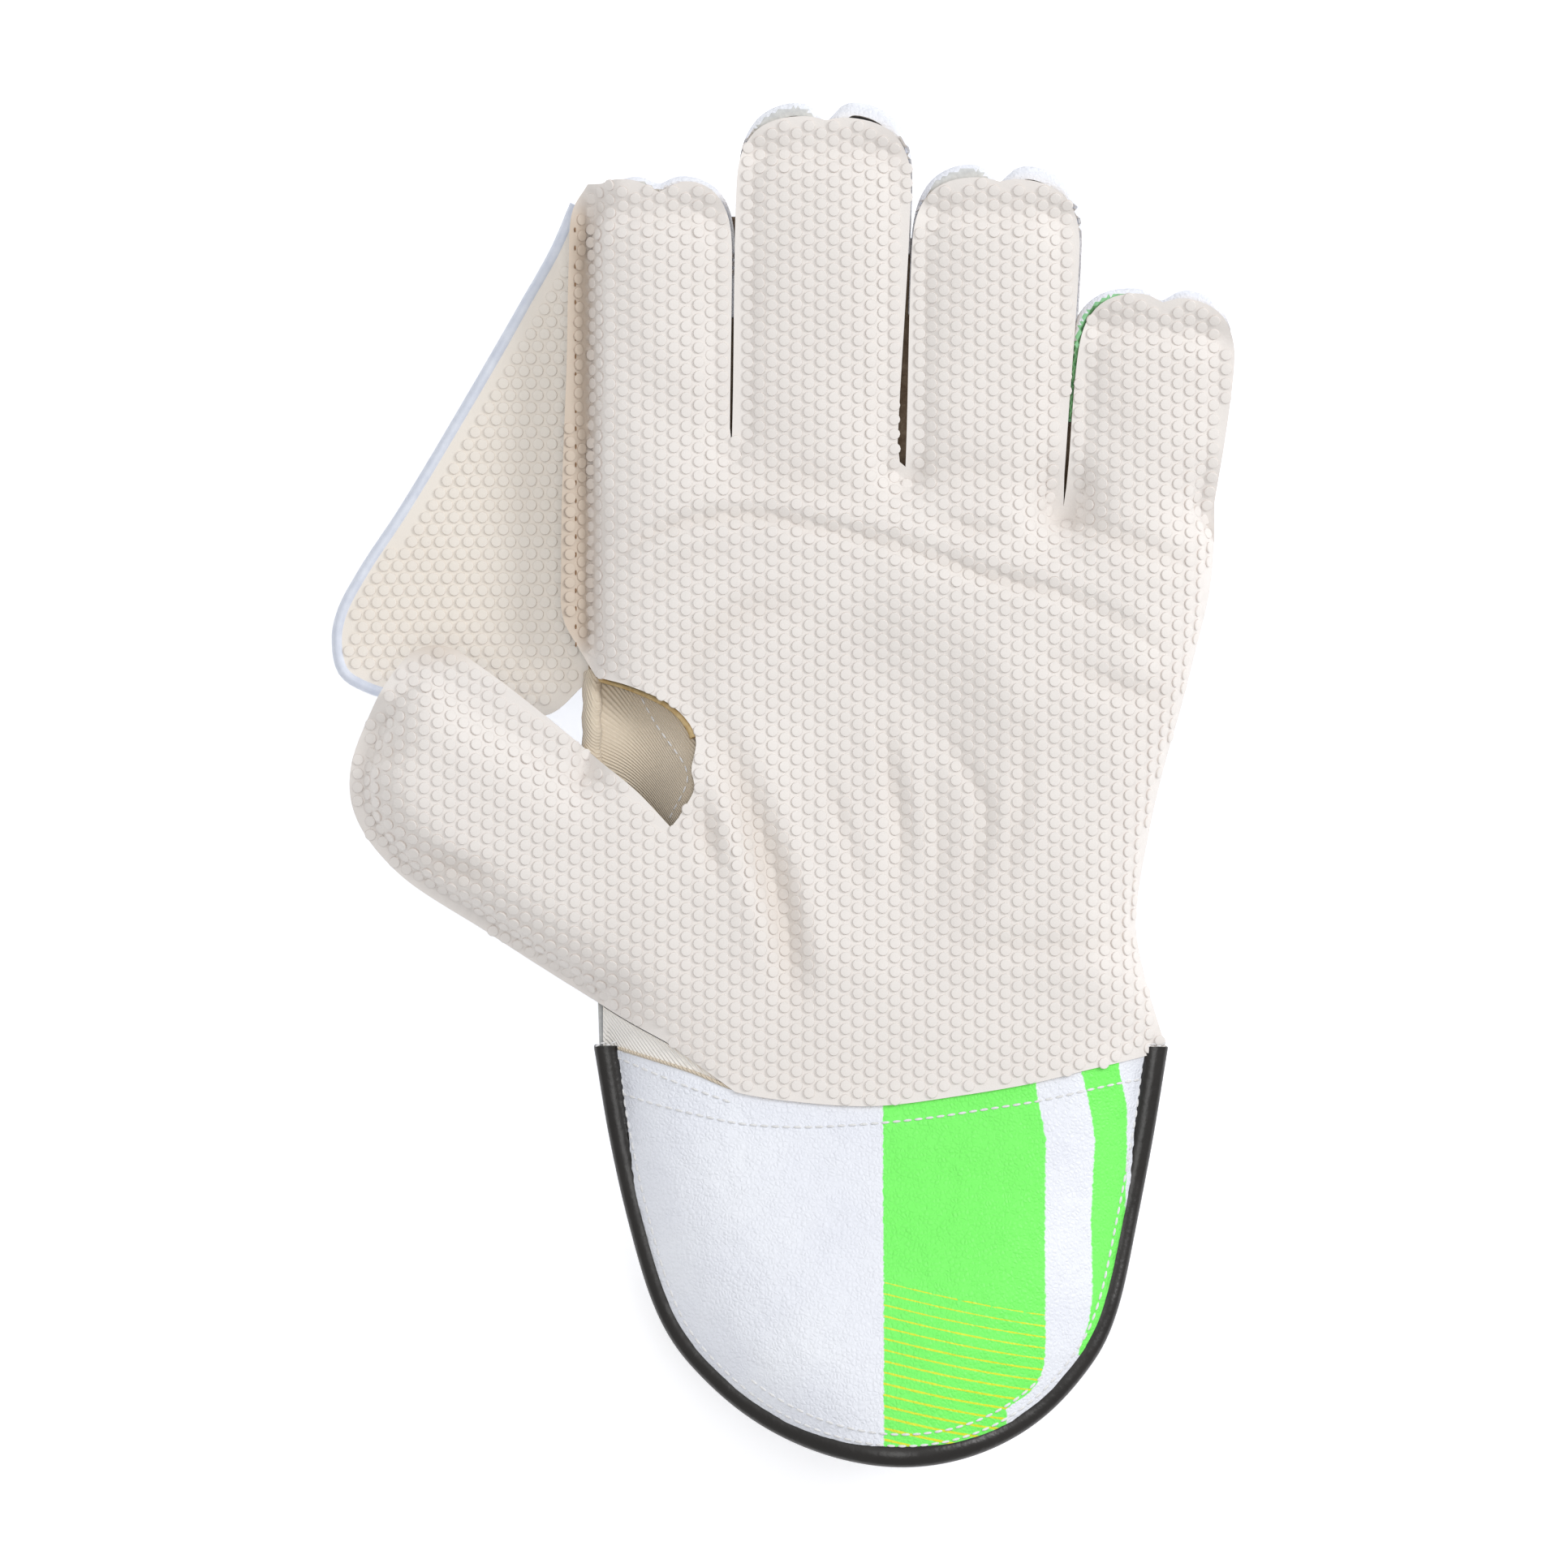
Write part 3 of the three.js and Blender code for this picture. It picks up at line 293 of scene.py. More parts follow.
# Folds of the rubber: width of the dent, heights of the ridges beside it and how far off they stand,
# and the route with the depth of the dent at each place
FOLDS = [
    {"name": "thumb base", "width": 4.2, "beside": (7, 0.8, 0.8),
     "route": [(-40.3, 79.1, 0.8), (-32.3, 59.1, 2.8), (-25.9, 39.1, 3.8), (-23.3, 27.1, 3.1),
               (-21.9, 17.1, 1.5), (-21.1, 7.1, 0.3)]},
    {"name": "window corner", "width": 3, "beside": (5, 0.3, 0.3),
     "route": [(-43.7, 62.1, 0.6), (-42.7, 52.1, 1.9), (-40.3, 42.1, 0.3)]},
    {"name": "upper arc", "width": 4, "beside": (7, 0.2, 0.3),
     "route": [(-46, 84, 0.2), (-48.3, 93.1, 0.6), (-43.3, 102.1, 1), (-33.3, 108.7, 1),
               (-19.3, 109.1, 0.3)]},
    {"name": "knuckles", "width": 1.9, "beside": (4.5, 0.6, 0.35),
     "route": [(-68.3, 119.1, 0.4), (-58.3, 127.1, 1), (-45.3, 131.1, 1.3), (-31.3, 132.1, 1.4),
               (-17.3, 129.5, 1.3), (-1.3, 126.1, 1.1), (14.7, 121.1, 1.2), (24.7, 117.5, 1.3),
               (36.7, 114.7, 1.3), (44.7, 112.7, 0.9), (58.7, 106.1, 0.8), (68.7, 99.1, 0.4)]},
    {"name": "under the index", "width": 3, "beside": (5, 0.2, 0.2),
     "route": [(-63.3, 111.1, 0.3), (-53.3, 119.1, 0.6), (-41.3, 123.1, 0.3)]},
    {"name": "ring base", "width": 1.8, "beside": (4, 0.3, 0.2),
     "route": [(12.7, 131.1, 0.3), (22.7, 129.1, 1), (31.7, 128.1, 0.4)]},
    {"name": "ring pad", "width": 4, "beside": (7, 0.2, 0),
     "route": [(8.7, 142.1, 0.2), (22.7, 143.1, 0.6), (34.7, 139.1, 0.2)]},
    {"name": "middle pad", "width": 4, "beside": (7, 0.2, 0),
     "route": [(-33.3, 139.1, 0.3), (-21.3, 141.1, 0.8), (-5.3, 137.1, 0.3)]},
    {"name": "little base", "width": 3, "beside": (5, 0.3, 0.2),
     "route": [(44.7, 132.1, 0.4), (56.7, 127.1, 1.1), (72.7, 121.1, 0.8)]},
    {"name": "outer palm", "width": 3, "beside": (5, 0.3, 0.3),
     "route": [(42.7, 96.1, 0.4), (56.7, 90.1, 0.9), (70.7, 86.1, 0.7)]},
    {"name": "centre", "width": 2.6, "beside": (4.5, 0.2, 0.3),
     "route": [(0.7, 81.1, 0.4), (2.7, 67.1, 1.2), (5.1, 51.1, 1.1), (3.7, 41.1, 0.3)]},
    {"name": "centre left", "width": 2.2, "beside": (4, 0.2, 0.2),
     "route": [(-15.3, 73.1, 0.2), (-10.3, 57.1, 0.8), (-5.3, 43.1, 0.5)]},
    {"name": "centre inner", "width": 2.2, "beside": (4, 0.1, 0.2),
     "route": [(12.7, 67.1, 0.3), (14.7, 49.1, 0.6), (12.7, 37.1, 0.2)]},
    {"name": "centre right", "width": 2.4, "beside": (4, 0.2, 0.2),
     "route": [(14.7, 79.1, 0.2), (22.7, 67.1, 0.8), (25.7, 59.1, 0.8), (22.7, 41.1, 0.4)]},
    {"name": "outer centre", "width": 2.6, "beside": (4, 0.2, 0.2),
     "route": [(34.7, 81.1, 0.3), (35.1, 63.1, 0.7), (30.7, 41.1, 0.3)]},
    {"name": "heel", "width": 3, "beside": (6, 0.1, 0.3),
     "route": [(18.7, 26.1, 0.3), (38.7, 25.5, 0.7), (59.7, 27.1, 0.6)]},
    {"name": "thumb nail side", "width": 3.2, "beside": (5, 0.3, 0.3),
     "route": [(-113, 49, 0.5), (-108.5, 46, 1.6), (-101, 43.5, 1.4), (-96, 42, 0.4)]},
    {"name": "thumb top corner", "width": 3, "beside": (5, 0.2, 0.2),
     "route": [(-128, 74, 0.6), (-122.5, 73, 1.3), (-117, 74, 0.4)]},
]
# Hollow of the palm, in shares of its width and length
CUP = {"across": -0.01, "up": 0.45, "half_width": 0.26, "half_length": 0.34}
FINGER_PIMPLES_FROM = 128
RUBBER_NODES = [f"{part}_rubber" for part in ("palm", "index", "middle", "ring", "little", "thumb")]
WEB_EDGE = [
    # share of WEB_HEIGHT down, share of WEB_WIDTH out
    (0, 0.055), (0.088, 0.133), (0.191, 0.253), (0.397, 0.496), (0.596, 0.736), (0.716, 0.894),
    (0.795, 0.978), (0.85, 1), (0.915, 0.973), (0.948, 0.869), (0.985, 0.55), (1, 0.169), (0.94, 0.02),
]
WEB_BOUND_ROWS = 11
CUFF_SIDE = [
    # share of CUFF_LENGTH down, share of half CUFF_WIDTH
    (0, 1), (0.22, 0.948), (0.42, 0.888), (0.62, 0.811), (0.72, 0.744),
    (0.81, 0.64), (0.89, 0.51), (0.95, 0.357), (0.987, 0.186), (1, 0),
]


def smooth(t):
    t = np.clip(t, 0, 1)
    return t * t * (3 - 2 * t)


def mix(a, b, t):
    return a + (b - a) * t


def bulge(t, power):
    """Rounded rise from 0 at t = 0 to 1 at t = 1."""
    return (1 - (1 - np.clip(t, 0, 1)) ** power) ** (1 / power)


def hump(distance, width):
    return np.exp(-((distance / width) ** 2))


def resampled(line, step):
    """The same line with its points about step apart."""
    line = np.asarray(line, float)
    lengths = np.concatenate([[0], np.cumsum(np.linalg.norm(np.diff(line[:, :2], axis=0), axis=1))])
    count = max(2, round(lengths[-1] / step))
    places = np.linspace(0, lengths[-1], count + 1)
    return np.column_stack([np.interp(places, lengths, column) for column in line.T])


def curve(points, step):
    """Points about step apart on a smooth line through the given ones. Further columns go along."""
    points = np.asarray(points, float)
    ends = np.vstack([2 * points[0] - points[1], points, 2 * points[-1] - points[-2]])
    knots = np.concatenate([[0], np.cumsum(np.linalg.norm(np.diff(ends[:, :2], axis=0), axis=1) ** 0.5)])
    parts = []
    for i in range(1, len(ends) - 2):
        t = np.linspace(knots[i], knots[i + 1], 20, endpoint=False)[:, None]
        p0, p1, p2, p3 = ends[i - 1:i + 3]
        t0, t1, t2, t3 = knots[i - 1:i + 3]
        a = mix(p0, p1, (t - t0) / (t1 - t0))
        b = mix(p1, p2, (t - t1) / (t2 - t1))
        c = mix(p2, p3, (t - t2) / (t3 - t2))
        early = mix(a, b, (t - t0) / (t2 - t0))
        late = mix(b, c, (t - t1) / (t3 - t1))
        parts.append(mix(early, late, (t - t1) / (t2 - t1)))
    return resampled(np.vstack([*parts, points[-1]]), step)


def normals_of(line):
    along = np.gradient(line[:, :2], axis=0)
    along /= np.linalg.norm(along, axis=1, keepdims=True)
    return np.column_stack([-along[:, 1], along[:, 0]])


def offset(line, distance):
    """The line moved to its left by the distance, or by one distance for each point."""
    moved = line.copy()
    moved[:, :2] += normals_of(line) * np.reshape(distance, (-1, 1))
    return moved


def nearest(points, line):
    """Distance of each point from an open line, and the line's further columns at the nearest place."""
    best = np.full(len(points), np.inf)
    columns = np.zeros((len(points), line.shape[1] - 2))
    for start, end in zip(line[:-1], line[1:]):
        run = end[:2] - start[:2]
        t = np.clip((points - start[:2]) @ run / max(run @ run, 1e-9), 0, 1)
        distance = np.linalg.norm(points - start[:2] - t[:, None] * run, axis=1)
        nearer = distance < best
        best[nearer] = distance[nearer]
        columns[nearer] = start[2:] + t[nearer, None] * (end[2:] - start[2:])
    return best, columns


def closed_line(outline):
    return np.vstack([outline[:, :2], outline[:1, :2]])


def is_inside(points, outline):
    within = np.zeros(len(points), bool)
    for (ax, ay), (bx, by) in zip(outline[:, :2], np.roll(outline[:, :2], 1, axis=0)):
        if ay == by:
            continue
        crosses = (ay > points[:, 1]) != (by > points[:, 1])
        within ^= crosses & (points[:, 0] < (bx - ax) * (points[:, 1] - ay) / (by - ay) + ax)
    return within


def depth_inside(points, sides):
    """Depth inside the line that runs round the sides, below 0 outside it, and the line's columns."""
    distance, columns = nearest(points, sides)
    return np.where(is_inside(points, sides), distance, -distance), columns


# Plan of the hand. Outlines run round it leftwards, and their third column is the width of the flat
# rim beside the edge.
palm_left = KNUCKLE_SHIFT - PALM_WIDTH / 2
palm_right = KNUCKLE_SHIFT + PALM_WIDTH / 2
wrist_half = WRIST_WIDTH / 2


def with_rim(points, width):
    return np.column_stack([points, np.full(len(points), float(width))])


def palm_side(grow):
    rows = [
        (mix(wrist_half, palm_right, blend) - dent * WAIST_DENT + grow, up * PALM_LENGTH)
        for up, blend, dent in PALM_SIDE
    ]
    return with_rim(curve(rows, EDGE_STEP), 0)


fingers = [
    {
        **row,
        "x": palm_left + row["centre"] * PALM_WIDTH,
        "y": row["root"] * PALM_LENGTH,
        "half": row["width"] * MIDDLE_WIDTH / 2,
        "length": row["reach"] * MIDDLE_LENGTH,
        "angle": math.radians(row["lean"]),
    }
    for row in FINGERS
]
slits = [(palm_left + across * PALM_WIDTH, up * PALM_LENGTH) for across, up in SLITS]


def on_finger(finger, across, along):
    turned = (
        finger["x"] + across * math.cos(finger["angle"]) + along * math.sin(finger["angle"]),
        finger["y"] - across * math.sin(finger["angle"]) + along * math.cos(finger["angle"]),
    )
    return np.column_stack(turned)


def finger_place(finger, points):
    """How far the points lie to the right of a finger's middle line, and how far along it."""
    away = points - (finger["x"], finger["y"])
    sine = math.sin(finger["angle"])
    cosine = math.cos(finger["angle"])
    return away[:, 0] * cosine - away[:, 1] * sine, away[:, 0] * sine + away[:, 1] * cosine


def finger_edge(finger, grow, extra, notch, left_power):
    """A finger's edge from its right root over the tip to its left root."""
    tip_start = finger["length"] - TIP_ROUND

    def half_edge(power, beyond):
        along = np.linspace(TIP_ROUND * 0.2, tip_start, round(tip_start / EDGE_STEP), endpoint=False)
        across = finger["half"] * mix(finger["waist"], 1, smooth(along / tip_start)) + grow
        turn = np.linspace(0, math.pi / 2, round(TIP_ROUND * 1.7 / EDGE_STEP))
        tip_across = (finger["half"] + grow) * np.cos(turn) ** (2 / power)
        tip_along = tip_start + (TIP_ROUND + beyond) * np.sin(turn) ** (2 / power)
        line = np.column_stack([np.append(across, tip_across), np.append(along, tip_along)])
        return resampled(line, EDGE_STEP)

    right = half_edge(TIP_POWER, extra[0])
    left = half_edge(left_power, extra[1])
    width, depth = notch
    for half in (right, left):
        half[:, 1] -= depth * np.exp(-((np.abs(half[:, 0]) / width) ** 1.5)) * (half[:, 1] > tip_start)
    edge = np.vstack([right, left[-2::-1] * (-1, 1)])
    rim = mix(FINGER_RIM, TIP_RIM, smooth((edge[:, 1] - tip_start) / TIP_ROUND * 1.5))
    if finger is fingers[0]:
        rim = rim * smooth((edge[:, 0] + finger["half"]) / 6)
    return np.column_stack([on_finger(finger, edge[:, 0], edge[:, 1]), rim])


def all_fingers(grow, lobed, notches, index_power):
    parts = []
    for i in reversed(range(len(fingers))):
        power = index_power if i == 0 else TIP_POWER
        parts.append(finger_edge(fingers[i], grow, lobed * np.array(fingers[i]["lobes"]), notches[i], power))
        if i > 0:
            parts.append([[slits[i - 1][0], slits[i - 1][1] + grow, FINGER_RIM]])
    return np.vstack(parts)


# The thumb runs from its root towards its tip along one axis, up across the other
thumb_angle = math.radians(THUMB_ANGLE)
thumb_along = np.array([-math.cos(thumb_angle), math.sin(thumb_angle)])
thumb_up = np.array([math.sin(thumb_angle), math.cos(thumb_angle)])
thumb_root = np.array([palm_left + THUMB_ROOT[0] * PALM_WIDTH, THUMB_ROOT[1] * PALM_LENGTH])


def on_thumb(along, up):
    return thumb_root + np.multiply.outer(along, thumb_along) + np.multiply.outer(up, thumb_up)


thumb_rows = np.array(THUMB_EDGE)
thumb_plan = on_thumb(thumb_rows[:, 0] * THUMB_LENGTH, thumb_rows[:, 1] * THUMB_WIDTH)
thumb_rubber = curve(np.column_stack([thumb_plan, thumb_rows[:, [3, 2]]]), EDGE_STEP)
thumb_leather = offset(thumb_rubber, THUMB_FLANGE * thumb_rubber[:, 3])[:, :3]
thumb_rubber = thumb_rubber[:, :3]
crotch_at = int(np.argmax(thumb_leather[:, 0] < palm_left))
heel_at = int(np.nonzero(thumb_leather[:, 0] < -wrist_half + 1.5)[0][-1])
crotch = np.array([palm_left, thumb_leather[crotch_at, 1]])


def body_outline(lobed, notches):
    """Outline of hand, fingers and thumb, from the right wrist round to the left one."""
    side = resampled([(palm_left, PALM_LENGTH), crotch], EDGE_STEP)[1:]
    return np.vstack([
        palm_side(0),
        all_fingers(0, lobed, notches, TIP_POWER),
        with_rim(side, 0),
        thumb_leather[crotch_at:heel_at + 1],
    ])


def run_down(line):
    """The line with both ends run on below the wrist, so that heights carry on into the cuff."""
    start = [[wrist_half, -CUFF_LENGTH, 0]]
    end = [[-wrist_half, 0, 0], [-wrist_half, -CUFF_LENGTH, 0]]
    return np.vstack([start, line, end])


no_notch = [(1, 0)] * len(fingers)
lobe_notch = [(LOBE_NOTCH, max(row["lobes"]) + 1) for row in FINGERS]
leather_sides = run_down(body_outline(1, lobe_notch))
crown_sides = run_down(body_outline(0, no_notch))

index_tip = fingers[0]["y"] + fingers[0]["length"]
window_top = crotch[1] + WINDOW_ABOVE_CROTCH
window_line = curve(
    [(palm_left + deep * WINDOW_DEPTH, window_top - (1 - up) * WINDOW_HEIGHT) for deep, up in WINDOW_EDGE],
    EDGE_STEP,
)
flange_line = curve(
    [(palm_left - out * INDEX_FLANGE, mix(index_tip, window_top, down)) for down, out in FLANGE_EDGE],
    EDGE_STEP,
)
wrist_line = curve([(across * wrist_half, -down * HEM_DROP) for across, down in WRIST_LINE], EDGE_STEP)
hem_line = wrist_line[wrist_line[:, 0] >= HEM_START * wrist_half]

rubber_fingers = all_fingers(FINGER_GROW, 0, [row["notch"] for row in FINGERS], INDEX_CORNER_POWER)
flange_start = int(np.nonzero(rubber_fingers[:, 1] > index_tip - 1)[0][-1]) + 1
rubber_outline = np.vstack([
    palm_side(SEAM_FLANGE),
    rubber_fingers[:flange_start],
    with_rim(flange_line, 0),
    with_rim(window_line, 0),
    thumb_rubber,
    with_rim(hem_line, 0),
])


# Heights
def thumb_place(points):
    away = points[:, :2] - thumb_root
    return away @ thumb_along, away @ thumb_up


def thumb_share(points):
    along, up = thumb_place(points)
    return smooth(along / THUMB_LENGTH) * (1 - smooth((up / THUMB_WIDTH - THUMB_BLEND[0]) / THUMB_BLEND[1]))


def finger_seam(y):
    return SEAM_HEIGHT + FINGER_CURL * smooth((y - CURL_FROM) / CURL_RUN)


def seam(points):
    return finger_seam(points[:, 1]) + THUMB_LIFT * thumb_share(points)


cuff_rows = np.array(CUFF_SIDE)


def cuff_half(down):
    return np.interp(down / CUFF_LENGTH, cuff_rows[:, 0], cuff_rows[:, 1]) * CUFF_WIDTH / 2


def cuff_centre(down):
    return CUFF_SHIFT * np.clip(down / CUFF_LENGTH, 0, 1) ** 3


def flap_share(points):
    """Share of the way across a flap, 0 on its middle line and 1 beside the piping."""
    down = np.maximum(-points[:, 1], 0)
    reach = mix(cuff_half(down) - PIPING, CUFF_WIDTH / 2, smooth(down / CUFF_LENGTH) * 0.3)
    return np.clip(np.abs(points[:, 0] - cuff_centre(down)) / np.maximum(reach, 1), 0, 1)


def flap_blend(points):
    return smooth((EDGE_ROUND * 1.5 - points[:, 1]) / (EDGE_ROUND * 1.5))


def flap_top(points):
    run = smooth(np.maximum(-points[:, 1], 0) / CUFF_LENGTH)
    drop = mix(PALM_RISE, CUFF_WIDTH ** 2 / 4 / (2 * CUFF_BEND), run)
    crest = seam(points) + EDGE_WALL + PALM_RISE + CUFF_FLARE * run
    return crest - drop * flap_share(points) ** mix(6, 2, run)


fold_lines = [{**fold, "line": curve(fold["route"], 3)} for fold in FOLDS]


def side_of(points, line):
    """Distance from a line, above 0 on its left, and the line's third column at the nearest place."""
    distance, found = nearest(points, np.column_stack([line, line[:, :2], normals_of(line)]))
    left = np.sum((points - found[:, 1:3]) * found[:, 3:5], axis=1)
    return distance * np.where(left > 0, 1, -1), found[:, 0]


def fold_relief(points):
    """Height that the folds add, and how deep each point lies in a fold, from 0 to 1."""
    relief = np.zeros(len(points))
    crease_shade_and_flange_tone = np.zeros(len(points))
    for fold in fold_lines:
        signed, depth = side_of(points, fold["line"])
        dent = depth * hump(signed, fold["width"])
        away, left, right = fold["beside"]
        share = depth / max(row[2] for row in fold["route"])
        relief -= dent
        relief += share * left * hump(signed - away, away * 0.6)
        relief += share * right * hump(signed + away, away * 0.6)
        # How deep each point lies in a fold; the rubber paints shade there
        crease_shade_and_flange_tone = np.maximum(crease_shade_and_flange_tone, np.clip(dent / 3, 0, 1))
    across = (points[:, 0] / PALM_WIDTH - CUP["across"]) / CUP["half_width"]
    up = (points[:, 1] / PALM_LENGTH - CUP["up"]) / CUP["half_length"]
    relief -= PALM_CUP * (1 - smooth(across ** 2 + up ** 2))
    x, y = points[:, :2].T / UNEVEN_SPAN
    relief += UNEVEN * np.sin(x + 1.3 * np.sin(y * 0.6)) * np.sin(y * 0.9 + 1.1 * np.sin(x * 0.8))
    return relief, crease_shade_and_flange_tone


def tip_curl(points):
    """The rubber dips across each finger a little below its tip, and turns up beyond the dip."""
    curl = np.zeros(len(points))
    for finger in fingers:
        across, along = finger_place(finger, points)
        within = smooth((finger["half"] + 2 - np.abs(across)) / 6)
        beyond = along - finger["length"] + TIP_DIP
        rise = TIP_TURN_UP * smooth(beyond / TIP_DIP) - TIP_DIP_DEPTH * hump(beyond, TIP_DIP_WIDTH)
        curl += within * rise
    return curl


def edge_lift(points):
    """How far the rubber's flat rim stands over the seam, on the fingers and above the thumb."""
    on_fingers = smooth((points[:, 1] - LIFT_FROM) / LIFT_RUN) * smooth((points[:, 0] - palm_left + 2) / 10)
    along, up = thumb_place(points)
    on_thumb_top = smooth(along / 30) * smooth(up / 10) * smooth((palm_left + 2 - points[:, 0]) / 8)
    return FINGER_EDGE_LIFT * on_fingers + THUMB_EDGE_LIFT * on_thumb_top


def leather_rim(points):
    """Height at which the leather's edge meets the rubber's."""
    return seam(points) + edge_lift(points)


def crown_rise(points):
    """Height of the stuffed crown over the rubber's edge wall."""
    depth, rim = depth_inside(points, crown_sides)
    rim = rim[:, 0]
    lift = edge_lift(points)
    rise = bulge((depth - rim) / np.maximum(EDGE_ROUND - rim, 7), 1.8)
    return np.column_stack([lift + (PALM_RISE - lift) * rise, depth])


def blurred(field, radius):
    """The field with every cell averaged with its neighbours, a few times over."""
    for _ in range(3):
        for axis in (0, 1):
            total = np.zeros_like(field)
            for move in range(-radius, radius + 1):
                total += np.roll(field, move, axis=axis)
            field = total / (2 * radius + 1)
    return field


def softened_crown(step=1.0, radius=3):
    """Crown heights on a fine grid, without the creases where the slopes from two edges meet."""
    low = rubber_outline[:, :2].min(axis=0) - 6
    high = rubber_outline[:, :2].max(axis=0) + 6
    x, y = np.meshgrid(np.arange(low[0], high[0], step), np.arange(low[1], high[1], step))
    found = crown_rise(np.column_stack([x.ravel(), y.ravel()]))
    heights = found[:, 0].reshape(x.shape)
    depths = found[:, 1].reshape(x.shape)
    share = smooth((depths - 3) / 6)
    soft = mix(heights, blurred(heights, radius), share)
    return {"low": low, "step": step, "heights": soft, "depths": depths}


def from_grid(grid, key, points):
    place = (points - grid["low"]) / grid["step"]
    field = grid[key]
    cell = np.clip(np.floor(place).astype(int), 0, np.array(field.shape)[::-1] - 2)
    part = np.clip(place - cell, 0, 1)
    column, row = cell.T
    lower = mix(field[row, column], field[row, column + 1], part[:, 0])
    upper = mix(field[row + 1, column], field[row + 1, column + 1], part[:, 0])
    return mix(lower, upper, part[:, 1])


def beside_index(points):
    """1 along the flange at the index finger's side, and 0 above and below it."""
    up = points[:, 1]
    return smooth((up - window_top) / FLANGE_FADE) * smooth((index_tip - up) / FLANGE_FADE)


def palm_top(points):
    depth = from_grid(crown_grid, "depths", points)
    crown = seam(points) + EDGE_WALL + from_grid(crown_grid, "heights", points)
    hand = crown + fold_relief(points)[0] * smooth(depth / (EDGE_ROUND * 0.7)) + tip_curl(points)
    hand -= FLANGE_DIP * hump(points[:, 0] - palm_left - 0.4, FLANGE_DIP_WIDTH) * beside_index(points)
    return mix(hand, flap_top(points) + HEM_STEP, flap_blend(points))


crown_grid = softened_crown()


def palm_under(points):
    depth = depth_inside(points, crown_sides)[0] - SIDE_WALL
    floor = leather_rim(points) + SEAM_GAP / 2
    share = np.maximum(bulge(depth / (EDGE_ROUND - SIDE_WALL), 2), flap_blend(points))
    return np.maximum(floor, mix(floor, palm_top(points) - RUBBER_WALL, np.where(depth > 0, share, 0)))


def flap_under(points):
    run = smooth(np.maximum(-points[:, 1], 0) / CUFF_LENGTH)
    edge = mix(seam(points) - SEAM_GAP / 2 - EDGE_WALL, (PIPING - CUFF_WALL) / 2, run)
    return np.maximum(edge * flap_share(points) ** mix(6, 2.5, run), 0)


def back_depth(points):
    curl = smooth((points[:, 1] - CURL_FROM) / CURL_RUN)
    return SEAM_HEIGHT - FINGER_THINNING * curl - THUMB_THINNING * smooth(thumb_share(points) * 1.3)


def back_under(points):
    depth = depth_inside(points, leather_sides)[0]
    drop = mix(EDGE_WALL, back_depth(points) + edge_lift(points), bulge(depth / EDGE_ROUND, BACK_POWER))
    hand = np.maximum(leather_rim(points) - SEAM_GAP / 2 - drop, 0)
    return mix(hand, flap_under(points), flap_blend(points))


def back_top(points):
    depth = depth_inside(points, leather_sides)[0] - SIDE_WALL
    rim = leather_rim(points) - SEAM_GAP / 2
    padding = mix(BACK_PADDING, CUFF_WALL, flap_blend(points))
    share = np.maximum(bulge(depth / (EDGE_ROUND - SIDE_WALL), BACK_POWER), flap_blend(points))
    return np.minimum(rim, mix(rim, back_under(points) + padding, np.where(depth > 0, share, 0)))


# Meshes
def lattice(outline, step, margin):
    low = outline[:, :2].min(axis=0)
    high = outline[:, :2].max(axis=0)
    rows = np.arange(low[1], high[1], step * 0.866)
    columns = np.arange(low[0], high[0], step)
    x, y = np.meshgrid(columns, rows)
    x[1::2] += step / 2
    points = np.column_stack([x.ravel(), y.ravel()])
    return points[is_inside(points, outline) & (nearest(points, closed_line(outline))[0] > margin)]


def plan_mesh(outline, step, lines=()):
    """Even triangles over a plan outline, with edges along the lines too."""
    outline = outline[:, :2]
    inner = lattice(outline, step, step * 0.6)
    places = [outline]
    count = len(outline)
    edges = [(i, (i + 1) % count) for i in range(count)]
    for line in lines:
        inner = inner[nearest(inner, line)[0] > step * 0.5]
        edges += [(count + i, count + i + 1) for i in range(len(line) - 1)]
        places.append(line)
        count += len(line)
    points = [Vector(p) for p in np.vstack([*places, inner])]
    verts, _, faces, _, _, _ = delaunay_2d_cdt(points, edges, [], 1, 1e-4)
    faces = [face for face in faces if len(face) == 3]
    return np.array([tuple(v) for v in verts]), np.array(faces)


def rim_edges(faces):
    """Edges that only one face has, in that face's own direction."""
    directed = {(a, b) for face in faces for a, b in zip(face, np.roll(face, -1))}
    return [(a, b) for a, b in directed if (b, a) not in directed]


def to_frame(points):
    return (points + (*SHIFT, 0)) * MM


def make_mesh(name, points, faces, finishes, slots=None):
    mesh = bpy.data.meshes.new(name)
    mesh.from_pydata(to_frame(np.asarray(points)).tolist(), [], [list(map(int, face)) for face in faces])
    for finish in finishes:
        mesh.materials.append(finish)
    if slots is not None:
        mesh.polygons.foreach_set("material_index", np.asarray(slots, np.int32))
    mesh.polygons.foreach_set("use_smooth", [True] * len(mesh.polygons))
    mesh.set_sharp_from_angle(angle=math.radians(SHARP_ANGLE))
    mesh.validate()
    mesh.update()
    return mesh


def make_piece(name, mesh):
    piece = bpy.data.objects.new(name, mesh)
    bpy.context.scene.collection.objects.link(piece)
    return piece


def add_numbers(mesh, name, values):
    """One number for each of the mesh's points, for the finish to read."""
    mesh.attributes.new(name, "FLOAT", "POINT").data.foreach_set("value", np.asarray(values, np.float32))


def add_pattern(mesh, flat):
    """UV map of the piece laid flat, so that a pattern on it has its real size everywhere."""
    layer = mesh.uv_layers.new(name="pattern")
    corners = np.empty(len(mesh.loops), np.int32)
    mesh.loops.foreach_get("vertex_index", corners)
    places = (flat[corners] - PATTERN_MIDDLE) * MM / PATTERN_SPAN + 0.5
    layer.uv.foreach_set("vector", places.astype(np.float32).ravel())


